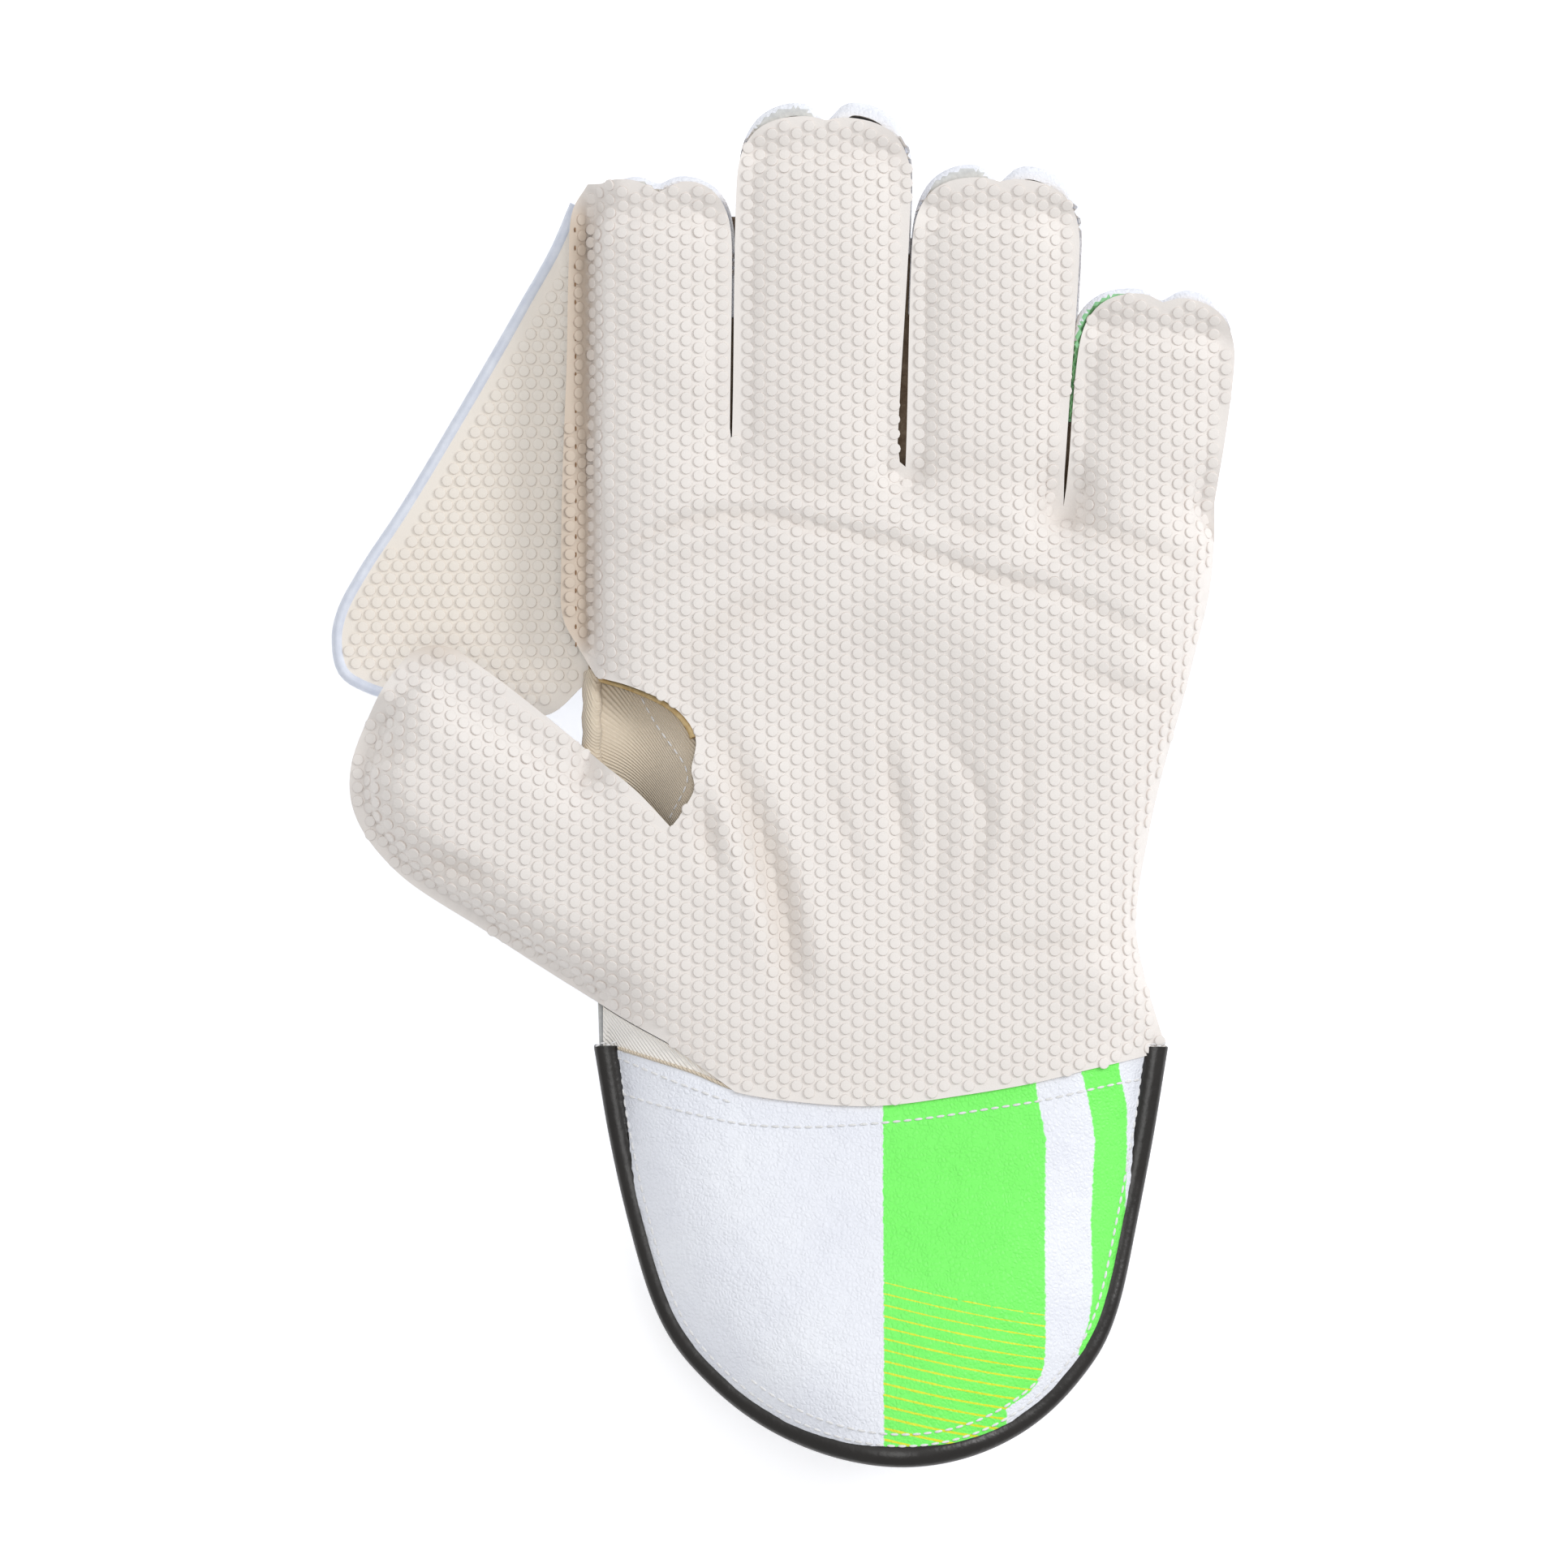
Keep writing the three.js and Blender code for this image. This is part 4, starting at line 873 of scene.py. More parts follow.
def laid_flat(points, faces, rounds=160):
    """Plan places of the points after the surface is relaxed to its own edge lengths."""
    sides = np.vstack([faces[:, [0, 1]], faces[:, [1, 2]], faces[:, [2, 0]]])
    edges = np.unique(np.sort(sides, axis=1), axis=0)
    a, b = edges.T
    rest = np.linalg.norm(points[a] - points[b], axis=1)
    flat = points[:, :2].copy()
    shares = np.bincount(edges.ravel(), minlength=len(points))[:, None]
    for _ in range(rounds):
        run = flat[b] - flat[a]
        length = np.linalg.norm(run, axis=1)
        push = run * ((length - rest) / np.maximum(length, 1e-6) * 0.5)[:, None]
        move = np.column_stack([
            np.bincount(a, push[:, k], len(points)) - np.bincount(b, push[:, k], len(points)) for k in (0, 1)
        ])
        flat += move / shares
    return flat


def wall(name, plan, faces, upper, lower, finishes):
    """Closed wall over plan triangles: faces, cut edge and underside, each with its own finish."""
    high = upper(plan)
    low = np.minimum(lower(plan), high - THINNEST)
    count = len(plan)
    points = np.vstack([np.column_stack([plan, high]), np.column_stack([plan, low])])
    rim = [(count + a, count + b, b, a) for a, b in rim_edges(faces)]
    all_faces = [*faces, *rim, *(faces[:, ::-1] + count)]
    slots = [0] * len(faces) + [1] * len(rim) + [2] * len(faces)
    return make_mesh(name, points, all_faces, finishes, slots)


def sheet(name, outline, step, upper, lower, finishes):
    plan, faces = plan_mesh(outline, step)
    return wall(name, plan, faces, upper, lower, finishes), plan, faces


def tube(name, path, radius, sides, finishes, wide=1.0):
    """Closed cord along a path of points, with flat ends, oval where wide isn't 1."""
    path = np.asarray(path, float)
    along = np.gradient(path, axis=0)
    along /= np.linalg.norm(along, axis=1, keepdims=True)
    side = np.cross(along, (0, 0, 1))
    side /= np.linalg.norm(side, axis=1, keepdims=True)
    top = np.cross(side, along)
    turn = np.arange(sides) / sides * 2 * math.pi
    right, rise = wide * np.cos(turn)[None, :, None], np.sin(turn)[None, :, None]
    ring = right * side[:, None] + rise * top[:, None]
    radius = np.broadcast_to(radius, len(path)).reshape(-1, 1, 1)
    points = (path[:, None] + ring * radius).reshape(-1, 3)
    faces = []
    for i in range(len(path) - 1):
        for j in range(sides):
            k = (j + 1) % sides
            this, following = i * sides, (i + 1) * sides
            faces.append((this + j, this + k, following + k, following + j))
    faces.append(tuple(range(sides))[::-1])
    faces.append(tuple(range((len(path) - 1) * sides, len(path) * sides)))
    mesh = make_mesh(name, points, faces, finishes)
    outward = bmesh.new()
    outward.from_mesh(mesh)
    bmesh.ops.recalc_face_normals(outward, faces=outward.faces)
    outward.to_mesh(mesh)
    outward.free()
    return mesh


# Finishes
class Finish:
    """A material and the nodes that make it."""

    def __init__(self, name, roughness, **constants):
        self.material = bpy.data.materials.new(name)
        self.material.use_nodes = True
        self.tree = self.material.node_tree
        self.shader = self.tree.nodes["Principled BSDF"]
        self.shader.inputs["Roughness"].default_value = roughness
        for socket, value in constants.items():
            self.shader.inputs[socket.replace("_", " ")].default_value = value

    def node(self, kind, **settings):
        made = self.tree.nodes.new(kind)
        for key, value in settings.items():
            setattr(made, key, value)
        return made

    def feed(self, socket, value):
        if isinstance(value, bpy.types.NodeSocket):
            self.tree.links.new(value, socket)
        else:
            socket.default_value = value

    def place(self):
        return self.node("ShaderNodeTexCoord").outputs["Object"]

    def number(self, name):
        return self.node("ShaderNodeAttribute", attribute_name=name).outputs["Fac"]

    def math(self, operation, first, second=0.0, third=0.0):
        made = self.node("ShaderNodeMath", operation=operation)
        for socket, value in zip(made.inputs, (first, second, third)):
            self.feed(socket, value)
        return made.outputs[0]

    def noise(self, place, scale, detail=3.0):
        made = self.node("ShaderNodeTexNoise")
        self.feed(made.inputs["Vector"], place)
        for key, value in (("Scale", scale), ("Detail", detail), ("Roughness", 0.55)):
            made.inputs[key].default_value = value
        return made.outputs["Fac"]

    def cells(self, place, scale):
        made = self.node("ShaderNodeTexVoronoi", feature="DISTANCE_TO_EDGE")
        self.feed(made.inputs["Vector"], place)
        made.inputs["Scale"].default_value = scale
        return made.outputs["Distance"]

    def spread(self, value, low, high, to_low=0.0, to_high=1.0):
        made = self.node("ShaderNodeMapRange", clamp=True)
        for socket, number in zip(made.inputs, (value, low, high, to_low, to_high)):
            self.feed(socket, number)
        return made.outputs[0]

    def blend(self, share, first, second):
        made = self.node("ShaderNodeMix", data_type="RGBA")
        self.feed(made.inputs["Factor"], share)
        for key, value in (("A", first), ("B", second)):
            socket = next(s for s in made.inputs if s.name == key and s.type == "RGBA")
            self.feed(socket, value)
        return next(s for s in made.outputs if s.type == "RGBA")

    def color(self, value):
        self.feed(self.shader.inputs["Base Color"], value)

    def roughness(self, value):
        self.feed(self.shader.inputs["Roughness"], value)

    def bump(self, height, distance, strength=1.0):
        made = self.node("ShaderNodeBump")
        made.inputs["Distance"].default_value = distance
        made.inputs["Strength"].default_value = strength
        self.feed(made.inputs["Height"], height)
        before = self.shader.inputs["Normal"]
        if before.is_linked:
            self.feed(made.inputs["Normal"], before.links[0].from_socket)
        self.feed(before, made.outputs["Normal"])


def shade(red, green, blue):
    """Linear colour from the 0 to 255 values of a screen."""
    linear = [((c / 255 + 0.055) / 1.055) ** 2.4 if c > 10 else c / 255 / 12.92 for c in (red, green, blue)]
    return (*linear, 1.0)


def rubber_finish(name, unmarked, worn):
    """Matt rubber: faint mottling, painted shade in the folds and round each pimple's foot, a darker brownish
    tone along the index's flange, a dusty skin.
    """
    finish = Finish(name, 0.6, Sheen_Weight=0.15, Sheen_Roughness=0.5)
    place = finish.place()
    mottle = finish.spread(finish.noise(place, 38), 0.35, 0.7)
    color = finish.blend(finish.math("MULTIPLY", mottle, 0.35), unmarked, worn)
    # Painted shade in the creases and the flange's darker tone, both blended towards brown
    crease_shade_and_flange_tone = finish.math("MULTIPLY", finish.number("crease_shade_and_flange_tone"), 0.8)
    color = finish.blend(crease_shade_and_flange_tone, color, shade(196, 178, 158))
    # Painted shade ring round each pimple's foot
    foot = finish.math("MULTIPLY", finish.number("foot"), 0.75)
    finish.color(finish.blend(foot, color, shade(176, 158, 146)))
    finish.bump(finish.noise(place, 2200), 0.00012, 0.5)
    return finish.material


def cut_edge_finish():
    """Cut edge of the rubber, browned by use."""
    finish = Finish("cut_edge", 0.8)
    place = finish.place()
    grain = finish.noise(place, 600)
    finish.color(finish.blend(finish.spread(grain, 0.35, 0.65), shade(224, 211, 190), shade(196, 172, 140)))
    finish.bump(grain, 0.0004)
    return finish.material


def leather_color(finish, place):
    tone = finish.spread(finish.noise(place, 30), 0.3, 0.7)
    return finish.blend(tone, shade(241, 244, 251), shade(231, 234, 244))


def leather_grain(finish, place):
    """Pebbled grain with finer pores, and long soft wrinkles."""
    pebbles = finish.spread(finish.cells(place, 900), 0.0, 0.35)
    pores = finish.noise(place, 2600, 2)
    finish.bump(pebbles, 0.0002, 0.6)
    finish.bump(pores, 0.0001, 0.3)
    finish.bump(finish.noise(place, 130, 3), 0.0014, 0.5)
    finish.roughness(finish.spread(pebbles, 0, 1, 0.55, 0.38))


def leather_finish(name):
    finish = Finish(name, 0.45, Coat_Weight=0.1, Coat_Roughness=0.35)
    place = finish.place()
    finish.color(leather_color(finish, place))
    leather_grain(finish, place)
    return finish.material


def piping_finish():
    finish = Finish("piping_vinyl", 0.32)
    place = finish.place()
    finish.color(finish.blend(finish.noise(place, 90), shade(24, 22, 21), shade(38, 35, 33)))
    finish.bump(finish.noise(place, 500, 2), 0.0003, 0.4)
    return finish.material


def weave_finish(name, light, dark, pitch):
    """Twill: fine slanting ribs with uneven threads."""
    finish = Finish(name, 0.9, Sheen_Weight=0.3)
    place = finish.place()
    waves = finish.node("ShaderNodeTexWave", wave_type="BANDS", bands_direction="DIAGONAL")
    finish.feed(waves.inputs["Vector"], place)
    waves.inputs["Scale"].default_value = 1 / pitch / 3
    waves.inputs["Distortion"].default_value = 0.6
    ribs = waves.outputs["Fac"]
    threads = finish.noise(place, 1500, 2)
    finish.color(finish.blend(finish.math("MULTIPLY", ribs, threads), dark, light))
    finish.bump(ribs, 0.0003, 0.8)
    return finish.material


def plain_finish(name, tone, second, roughness, scale=300):
    finish = Finish(name, roughness)
    place = finish.place()
    grain = finish.noise(place, scale)
    finish.color(finish.blend(finish.spread(grain, 0.3, 0.7), tone, second))
    finish.bump(grain, 0.0003, 0.5)
    return finish.material


def cuff_finish():
    """White leather with printed stripes, which stop at crisp edges but wear a little in the grain."""
    finish = Finish("cuff_leather", 0.45, Coat_Weight=0.1, Coat_Roughness=0.35)
    place = finish.place()
    leather = leather_color(finish, place)
    wear = finish.spread(finish.noise(place, 900, 4), 0.3, 0.7, -0.25, 0.25)
    print_edge = finish.math("ADD", finish.number("stripe"), wear)
    green = finish.blend(finish.noise(place, 60), shade(126, 255, 106), shade(116, 247, 96))
    lines = finish.number("rows")
    phase = finish.math("FRACT", lines)
    near = finish.math("ABSOLUTE", finish.math("SUBTRACT", phase, 0.5))
    thick = finish.number("row_width")
    speckle = finish.spread(finish.noise(place, 500, 3), 0.35, 0.65, -0.02, 0.02)
    drawn = finish.spread(finish.math("SUBTRACT", finish.math("ADD", thick, speckle), near), -0.03, 0.03)
    green = finish.blend(drawn, green, shade(222, 232, 34))
    finish.color(finish.blend(finish.spread(print_edge, -0.15, 0.15), leather, green))
    leather_grain(finish, place)
    return finish.material


# What repeats: pimples on a sheet, stitches along a line
class Tree:
    """Geometry nodes with named inputs, ending in plain geometry with its finish."""

    def __init__(self, name, sizes):
        self.group = bpy.data.node_groups.new(name, "GeometryNodeTree")
        face = self.group.interface
        face.new_socket("Geometry", in_out="INPUT", socket_type="NodeSocketGeometry")
        self.keys = {}
        for key, value in sizes.items():
            socket = face.new_socket(key, in_out="INPUT", socket_type="NodeSocketFloat")
            socket.default_value = value
            self.keys[key] = socket.identifier
        face.new_socket("Geometry", in_out="OUTPUT", socket_type="NodeSocketGeometry")
        self.start = self.group.nodes.new("NodeGroupInput")
        self.end = self.group.nodes.new("NodeGroupOutput")

    def size(self, key):
        return next(s for s in self.start.outputs if s.name == key)

    def geometry(self):
        return self.start.outputs["Geometry"]

    def node(self, kind, inputs=None, **settings):
        made = self.group.nodes.new(kind)
        for key, value in settings.items():
            setattr(made, key, value)
        for key, value in (inputs or {}).items():
            self.feed(made.inputs[key], value)
        return made

    def feed(self, socket, value):
        if isinstance(value, bpy.types.NodeSocket):
            self.group.links.new(value, socket)
        else:
            socket.default_value = value

    def math(self, operation, first, second=0.0, third=0.0):
        made = self.node("ShaderNodeMath", operation=operation)
        for socket, value in zip(made.inputs, (first, second, third)):
            self.feed(socket, value)
        return made.outputs[0]

    def place(self):
        return self.node("GeometryNodeInputPosition").outputs[0]

    def split(self, vector):
        return self.node("ShaderNodeSeparateXYZ", {"Vector": vector}).outputs

    def joined(self, x, y, z=0.0):
        return self.node("ShaderNodeCombineXYZ", {"X": x, "Y": y, "Z": z}).outputs[0]

    def compared(self, operation, first, second):
        sides = {"A": first, "B": second}
        return self.node("FunctionNodeCompare", sides, data_type="FLOAT", operation=operation).outputs[0]

    def named(self, name, data_type):
        return self.node("GeometryNodeInputNamedAttribute", {"Name": name}, data_type=data_type).outputs[0]

    def store(self, geometry, name, value, data_type):
        kept = {"Geometry": geometry, "Name": name, "Value": value}
        made = self.node("GeometryNodeStoreNamedAttribute", kept, data_type=data_type, domain="POINT")
        return made.outputs[0]

    def finish(self, geometry, material):
        real = self.node("GeometryNodeRealizeInstances", {"Geometry": geometry})
        coated = self.node("GeometryNodeSetMaterial", {"Geometry": real.outputs[0], "Material": material})
        self.feed(self.end.inputs["Geometry"], coated.outputs[0])

    def grow(self, carrier, name, sizes):
        """Plain mesh piece that the tree makes on a carrier, which is used up."""
        modifier = carrier.modifiers.new(self.group.name, "NODES")
        modifier.node_group = self.group
        for key, value in sizes.items():
            modifier[self.keys[key]] = value
        bpy.context.view_layer.update()
        ready = carrier.evaluated_get(bpy.context.evaluated_depsgraph_get())
        mesh = bpy.data.meshes.new_from_object(ready)
        carrier.modifiers.remove(modifier)
        mesh.name = name
        bpy.data.objects.remove(carrier)
        return make_piece(name, mesh)


def pimple_spots(tree):
    """Points in staggered columns on the pattern of a sheet, each with the sheet's slope, its painted crease
    shade and its flange tone.
    """
    pitch = tree.size("Pitch")
    span = tree.size("Span")
    column = tree.math("MULTIPLY", pitch, math.sqrt(3) / 2)
    across = tree.math("FLOOR", tree.math("DIVIDE", span, column))
    along = tree.math("FLOOR", tree.math("DIVIDE", span, pitch))
    grid = tree.node("GeometryNodeMeshGrid", {
        "Size X": tree.math("MULTIPLY", column, tree.math("SUBTRACT", across, 1)),
        "Size Y": tree.math("MULTIPLY", pitch, tree.math("SUBTRACT", along, 1)),
        "Vertices X": across,
        "Vertices Y": along,
    })
    place = tree.place()
    x, y, _ = tree.split(place)
    odd = tree.math("PINGPONG", tree.math("ROUND", tree.math("DIVIDE", x, column)), 1.0)
    staggered = tree.math("ADD", y, tree.math("MULTIPLY", odd, tree.math("MULTIPLY", pitch, 0.5)))
    flat = tree.joined(
        tree.math("ADD", tree.math("DIVIDE", x, span), 0.5),
        tree.math("ADD", tree.math("DIVIDE", staggered, span), 0.5),
    )
    pattern = tree.named("pattern", "FLOAT_VECTOR")

    def sampled(value, data_type):
        sources = {"Mesh": tree.geometry(), "Value": value, "UV Map": pattern, "Sample UV": flat}
        return tree.node("GeometryNodeSampleUVSurface", sources, data_type=data_type).outputs

    spot = sampled(place, "FLOAT_VECTOR")
    upright = sampled(tree.named("upright", "FLOAT_VECTOR"), "FLOAT_VECTOR")["Value"]
    crease_shade_and_flange_tone = sampled(tree.named("crease_shade_and_flange_tone", "FLOAT"), "FLOAT")["Value"]
    bare = sampled(tree.named("bare", "FLOAT"), "FLOAT")["Value"]
    off_sheet = tree.node("FunctionNodeBooleanMath", {0: spot["Is Valid"]}, operation="NOT").outputs[0]
    at_edge = tree.compared("GREATER_THAN", bare, 0.5)
    lost = tree.node("FunctionNodeBooleanMath", {0: off_sheet, 1: at_edge}, operation="OR").outputs[0]
    points = tree.node("GeometryNodeMeshToPoints", {"Mesh": grid.outputs["Mesh"]}).outputs[0]
    for name, value, data_type in (
        ("spot", spot["Value"], "FLOAT_VECTOR"),
        ("upright", upright, "FLOAT_VECTOR"),
        ("crease_shade_and_flange_tone", crease_shade_and_flange_tone, "FLOAT"),
        ("lost", lost, "BOOLEAN"),
    ):
        points = tree.store(points, name, value, data_type)
    unwanted = {"Geometry": points, "Selection": tree.named("lost", "BOOLEAN")}
    points = tree.node("GeometryNodeDeleteGeometry", unwanted).outputs[0]
    moved = {"Geometry": points, "Position": tree.named("spot", "FLOAT_VECTOR")}
    return tree.node("GeometryNodeSetPosition", moved).outputs[0]


def pimple_body(tree):
    """One round flat-topped pimple, wider towards its foot and open underneath."""
    body = tree.node("GeometryNodeMeshCylinder", {
        "Vertices": PIMPLE_SIDES,
        "Side Segments": PIMPLE_RINGS,
        "Radius": tree.math("MULTIPLY", tree.size("Width"), 0.5),
        "Depth": 1.0,
    }, fill_type="NGON")
    x, y, z = tree.split(tree.place())
    level = tree.math("ADD", z, 0.5)
    narrow = tree.math("SUBTRACT", 1.0, tree.math("MULTIPLY", tree.math("POWER", level, 3.0), 1 - PIMPLE_TOP))
    steep = tree.math("POWER", tree.math("SUBTRACT", 1.0, level), 3.0)
    rise = tree.math("SUBTRACT", 1.0, tree.math("MULTIPLY", steep, 1.5))
    height = tree.math("MULTIPLY", rise, tree.size("Height"))
    # 1 at the sunk foot, fading out a third of the way up: where the rubber paints its shade ring
    foot = tree.math("MAXIMUM", 0.0, tree.math("SUBTRACT", 1.0, tree.math("MULTIPLY", level, 2.4)))
    body = tree.store(body.outputs["Mesh"], "foot", foot, "FLOAT")
    shaped = tree.joined(tree.math("MULTIPLY", x, narrow), tree.math("MULTIPLY", y, narrow), height)
    body = tree.node("GeometryNodeSetPosition", {"Geometry": body, "Position": shaped}).outputs[0]
    facing = tree.split(tree.node("GeometryNodeInputNormal").outputs[0])["Z"]
    underside = {"Geometry": body, "Selection": tree.compared("LESS_THAN", facing, -0.9)}
    body = tree.node("GeometryNodeDeleteGeometry", underside, domain="FACE").outputs[0]
    return tree.node("GeometryNodeSetShadeSmooth", {"Geometry": body}).outputs[0]


def pimple_tree(material):
    """Pimples all over a sheet, each square to its surface."""
    tree = Tree("pimples", {**PIMPLE_SIZES, "Span": PATTERN_SPAN})
    upright = tree.named("upright", "FLOAT_VECTOR")
    turn = tree.node("FunctionNodeAlignRotationToVector", {"Vector": upright}, axis="Z")
    placed = tree.node("GeometryNodeInstanceOnPoints", {
        "Points": pimple_spots(tree),
        "Instance": pimple_body(tree),
        "Rotation": turn.outputs[0],
    })
    tree.finish(placed.outputs[0], material)
    return tree


def stitch_tree(name, material):
    """Short oval stitches at an even pitch along the edges of a line."""
    tree = Tree(name, CUFF_STITCH)
    line = tree.node("GeometryNodeMeshToCurve", {"Mesh": tree.geometry()})
    spacing = {"Curve": line.outputs[0], "Length": tree.size("Pitch")}
    even = tree.node("GeometryNodeResampleCurve", spacing, mode="LENGTH")
    points = tree.node("GeometryNodeCurveToPoints", {"Curve": even.outputs[0]}, mode="EVALUATED")
    ball = tree.node("GeometryNodeMeshUVSphere", {"Segments": 8, "Rings": 6, "Radius": 0.5})
    smoothed = tree.node("GeometryNodeSetShadeSmooth", {"Geometry": ball.outputs["Mesh"]})
    thick = tree.size("Thickness")
    placed = tree.node("GeometryNodeInstanceOnPoints", {
        "Points": points.outputs["Points"],
        "Instance": smoothed.outputs[0],
        "Rotation": points.outputs["Rotation"],
        "Scale": tree.joined(thick, tree.math("MULTIPLY", thick, 0.8), tree.size("Length")),
    })
    tree.finish(placed.outputs[0], material)
    return tree


def face_carrier(points, faces, flat, crease_shade_and_flange_tone, bare):
    """The sheet's face alone, for the pimples to stand on."""
    mesh = make_mesh("carrier", points, faces, [])
    add_pattern(mesh, flat)
    add_numbers(mesh, "crease_shade_and_flange_tone", crease_shade_and_flange_tone)
    add_numbers(mesh, "bare", bare)
    normals = np.empty(len(points) * 3, np.float32)
    mesh.vertices.foreach_get("normal", normals)
    mesh.attributes.new("upright", "FLOAT_VECTOR", "POINT").data.foreach_set("vector", normals)
    return make_piece("carrier", mesh)


def line_carrier(lines):
    points = np.vstack(lines)
    edges = []
    start = 0
    for line in lines:
        edges += [(start + i, start + i + 1) for i in range(len(line) - 1)]
        start += len(line)
    mesh = bpy.data.meshes.new("carrier")
    mesh.from_pydata(to_frame(points).tolist(), edges, [])
    return make_piece("carrier", mesh)


rubber = rubber_finish("palm_rubber", shade(234, 229, 225), shade(227, 221, 217))
web_rubber = rubber_finish("web_rubber", shade(237, 230, 221), shade(230, 221, 210))
cut_edge = cut_edge_finish()
leather = leather_finish("white_leather")
cuff_leather = cuff_finish()
vinyl = piping_finish()
twill = weave_finish("lining_twill", shade(229, 216, 197), shade(214, 200, 179), 0.0005)
tape_weave = weave_finish("wrist_tape", shade(254, 252, 249), shade(250, 246, 240), 0.0007)
binding_skin = plain_finish("binding", shade(222, 227, 238), shade(208, 214, 228), 0.42)
# Gray cloth under the sheets; also the gray of painted shade inside the left fingertip lobes
inner_cloth_and_lobe_shade = plain_finish("inner_cloth_and_lobe_shade", shade(214, 216, 216), shade(196, 198, 199), 0.9, 900)
thread = plain_finish("white_thread", shade(240, 240, 240), shade(220, 220, 222), 0.6, 2500)
green_leather = plain_finish("green_leather", shade(150, 214, 160), shade(136, 200, 148), 0.5, 900)
# Dark brown: the gussets' leather, and painted shade deep in the slits
gusset_leather_and_slit_shade = plain_finish("gusset_leather_and_slit_shade", shade(150, 132, 112), shade(112, 92, 72), 0.85, 500)
yellowed = plain_finish("yellowed_edge", shade(226, 204, 156), shade(190, 158, 104), 0.8, 500)
brown_thread = plain_finish("brown_thread", shade(150, 112, 76), shade(110, 78, 50), 0.8, 2500)

pimples_on_rubber = pimple_tree(rubber)
pimples_on_web = pimple_tree(web_rubber)
white_stitches = stitch_tree("white_stitches", thread)
brown_stitches = stitch_tree("brown_stitches", brown_thread)


def ride(piece, slot, *nodes):
    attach(piece, "root")
    if nodes:
        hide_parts(*nodes)


def on_height(line, height, lift=0.0):
    """The plan line as a path at the height given there, lifted a little."""
    return np.column_stack([line, height(line) + lift])


def add_cord(name, path, radius, sides, finish, slot, *nodes, wide=1.0):
    ride(make_piece(name, tube(name, path, radius, sides, [finish], wide)), slot, *nodes)


def add_stitches(tree, name, lines, sizes, slot):
    ride(tree.grow(line_carrier(lines), name, sizes), slot)


def tell_cut(plan, faces, top):
    """Lays the sewn cloth out flat to its own edge lengths; the result is not used."""
    flat = laid_flat(on_height(plan, top), faces)


def add_rubber():
    """One moulded sheet over palm, fingers and thumb, with its pimples."""
    mesh, plan, faces = sheet(
        "rubber_palm", rubber_outline, EDGE_STEP, palm_top, palm_under, [rubber, cut_edge, inner_cloth_and_lobe_shade],
    )
    painted_fold_shade = fold_relief(plan)[1]
    on_flange = smooth((palm_left + 1 - plan[:, 0]) / 2) * beside_index(plan)
    # Painted shade in the folds, and a darker tone on the index's flange
    crease_shade_and_flange_tone = np.maximum(painted_fold_shade * FOLD_PAINTED_SHADE, on_flange)
    add_numbers(mesh, "crease_shade_and_flange_tone", np.append(crease_shade_and_flange_tone, crease_shade_and_flange_tone))
    piece = make_piece("rubber_palm", mesh)
    points = on_height(plan, palm_top)
    flat = mix(plan, laid_flat(points, faces), PATTERN_EASE)
    bare = (nearest(plan, closed_line(rubber_outline))[0] < PIMPLES_OFF_EDGE) * 1.0
    middles = plan[faces].mean(axis=1)
    on_fingers = middles[:, 1] > FINGER_PIMPLES_FROM
    below_web = middles[:, 1] < crotch[1] + THUMB_WIDTH / 2
    on_thumb_side = (middles[:, 0] < palm_left) & ~on_fingers & below_web
    ride(piece, "rubber", *RUBBER_NODES)
    zones = {"fingers": on_fingers, "thumb": on_thumb_side, "palm": ~on_fingers & ~on_thumb_side}
    for name, zone in zones.items():
        carrier = face_carrier(points, faces[zone], flat, crease_shade_and_flange_tone, bare)
        ride(pimples_on_rubber.grow(carrier, f"pimples_{name}", PIMPLE_SIZES), "rubber")


def nearest_vertex(outline, place):
    return outline[np.argmin(np.hypot(*(outline[:, :2] - place).T)), :2]


def pad_cuts(outline):
    """Seams that part the leather back into hand, fingers and thumb."""
    right_side = outline[outline[:, 0] > slits[-1][0] + TIP_ROUND]
    left_foot = nearest_vertex(outline, (palm_left, slits[0][1]))
    right_foot = nearest_vertex(right_side, (palm_side(0)[-1, 0], slits[-1][1]))
    feet = [left_foot, *slits, right_foot]
    heel = nearest_vertex(outline, (-wrist_half, 0))
    return [resampled(line, PAD_STEP) for line in [*zip(feet, feet[1:]), (crotch, heel)]]


def pad_names(middles, cuts):
    """Which pad of the back each place belongs to."""
    knuckles = np.vstack(cuts[:-1])
    beyond = middles[:, 1] > np.interp(middles[:, 0], knuckles[:, 0], knuckles[:, 1])
    across = [np.abs(finger_place(finger, middles)[0]) for finger in fingers]
    finger_names = np.array([finger["name"] for finger in fingers])[np.argmin(across, axis=0)]
    thumb_cut = cuts[-1][np.argsort(cuts[-1][:, 1])]
    left = middles[:, 0] < np.interp(middles[:, 1], thumb_cut[:, 1], thumb_cut[:, 0])
    on_thumb_side = left & (middles[:, 1] < crotch[1] + THUMB_WIDTH)
    others = np.where(on_thumb_side, "thumb", "hand")
    return np.where(beyond & (middles[:, 0] > palm_left - 1), finger_names, others)


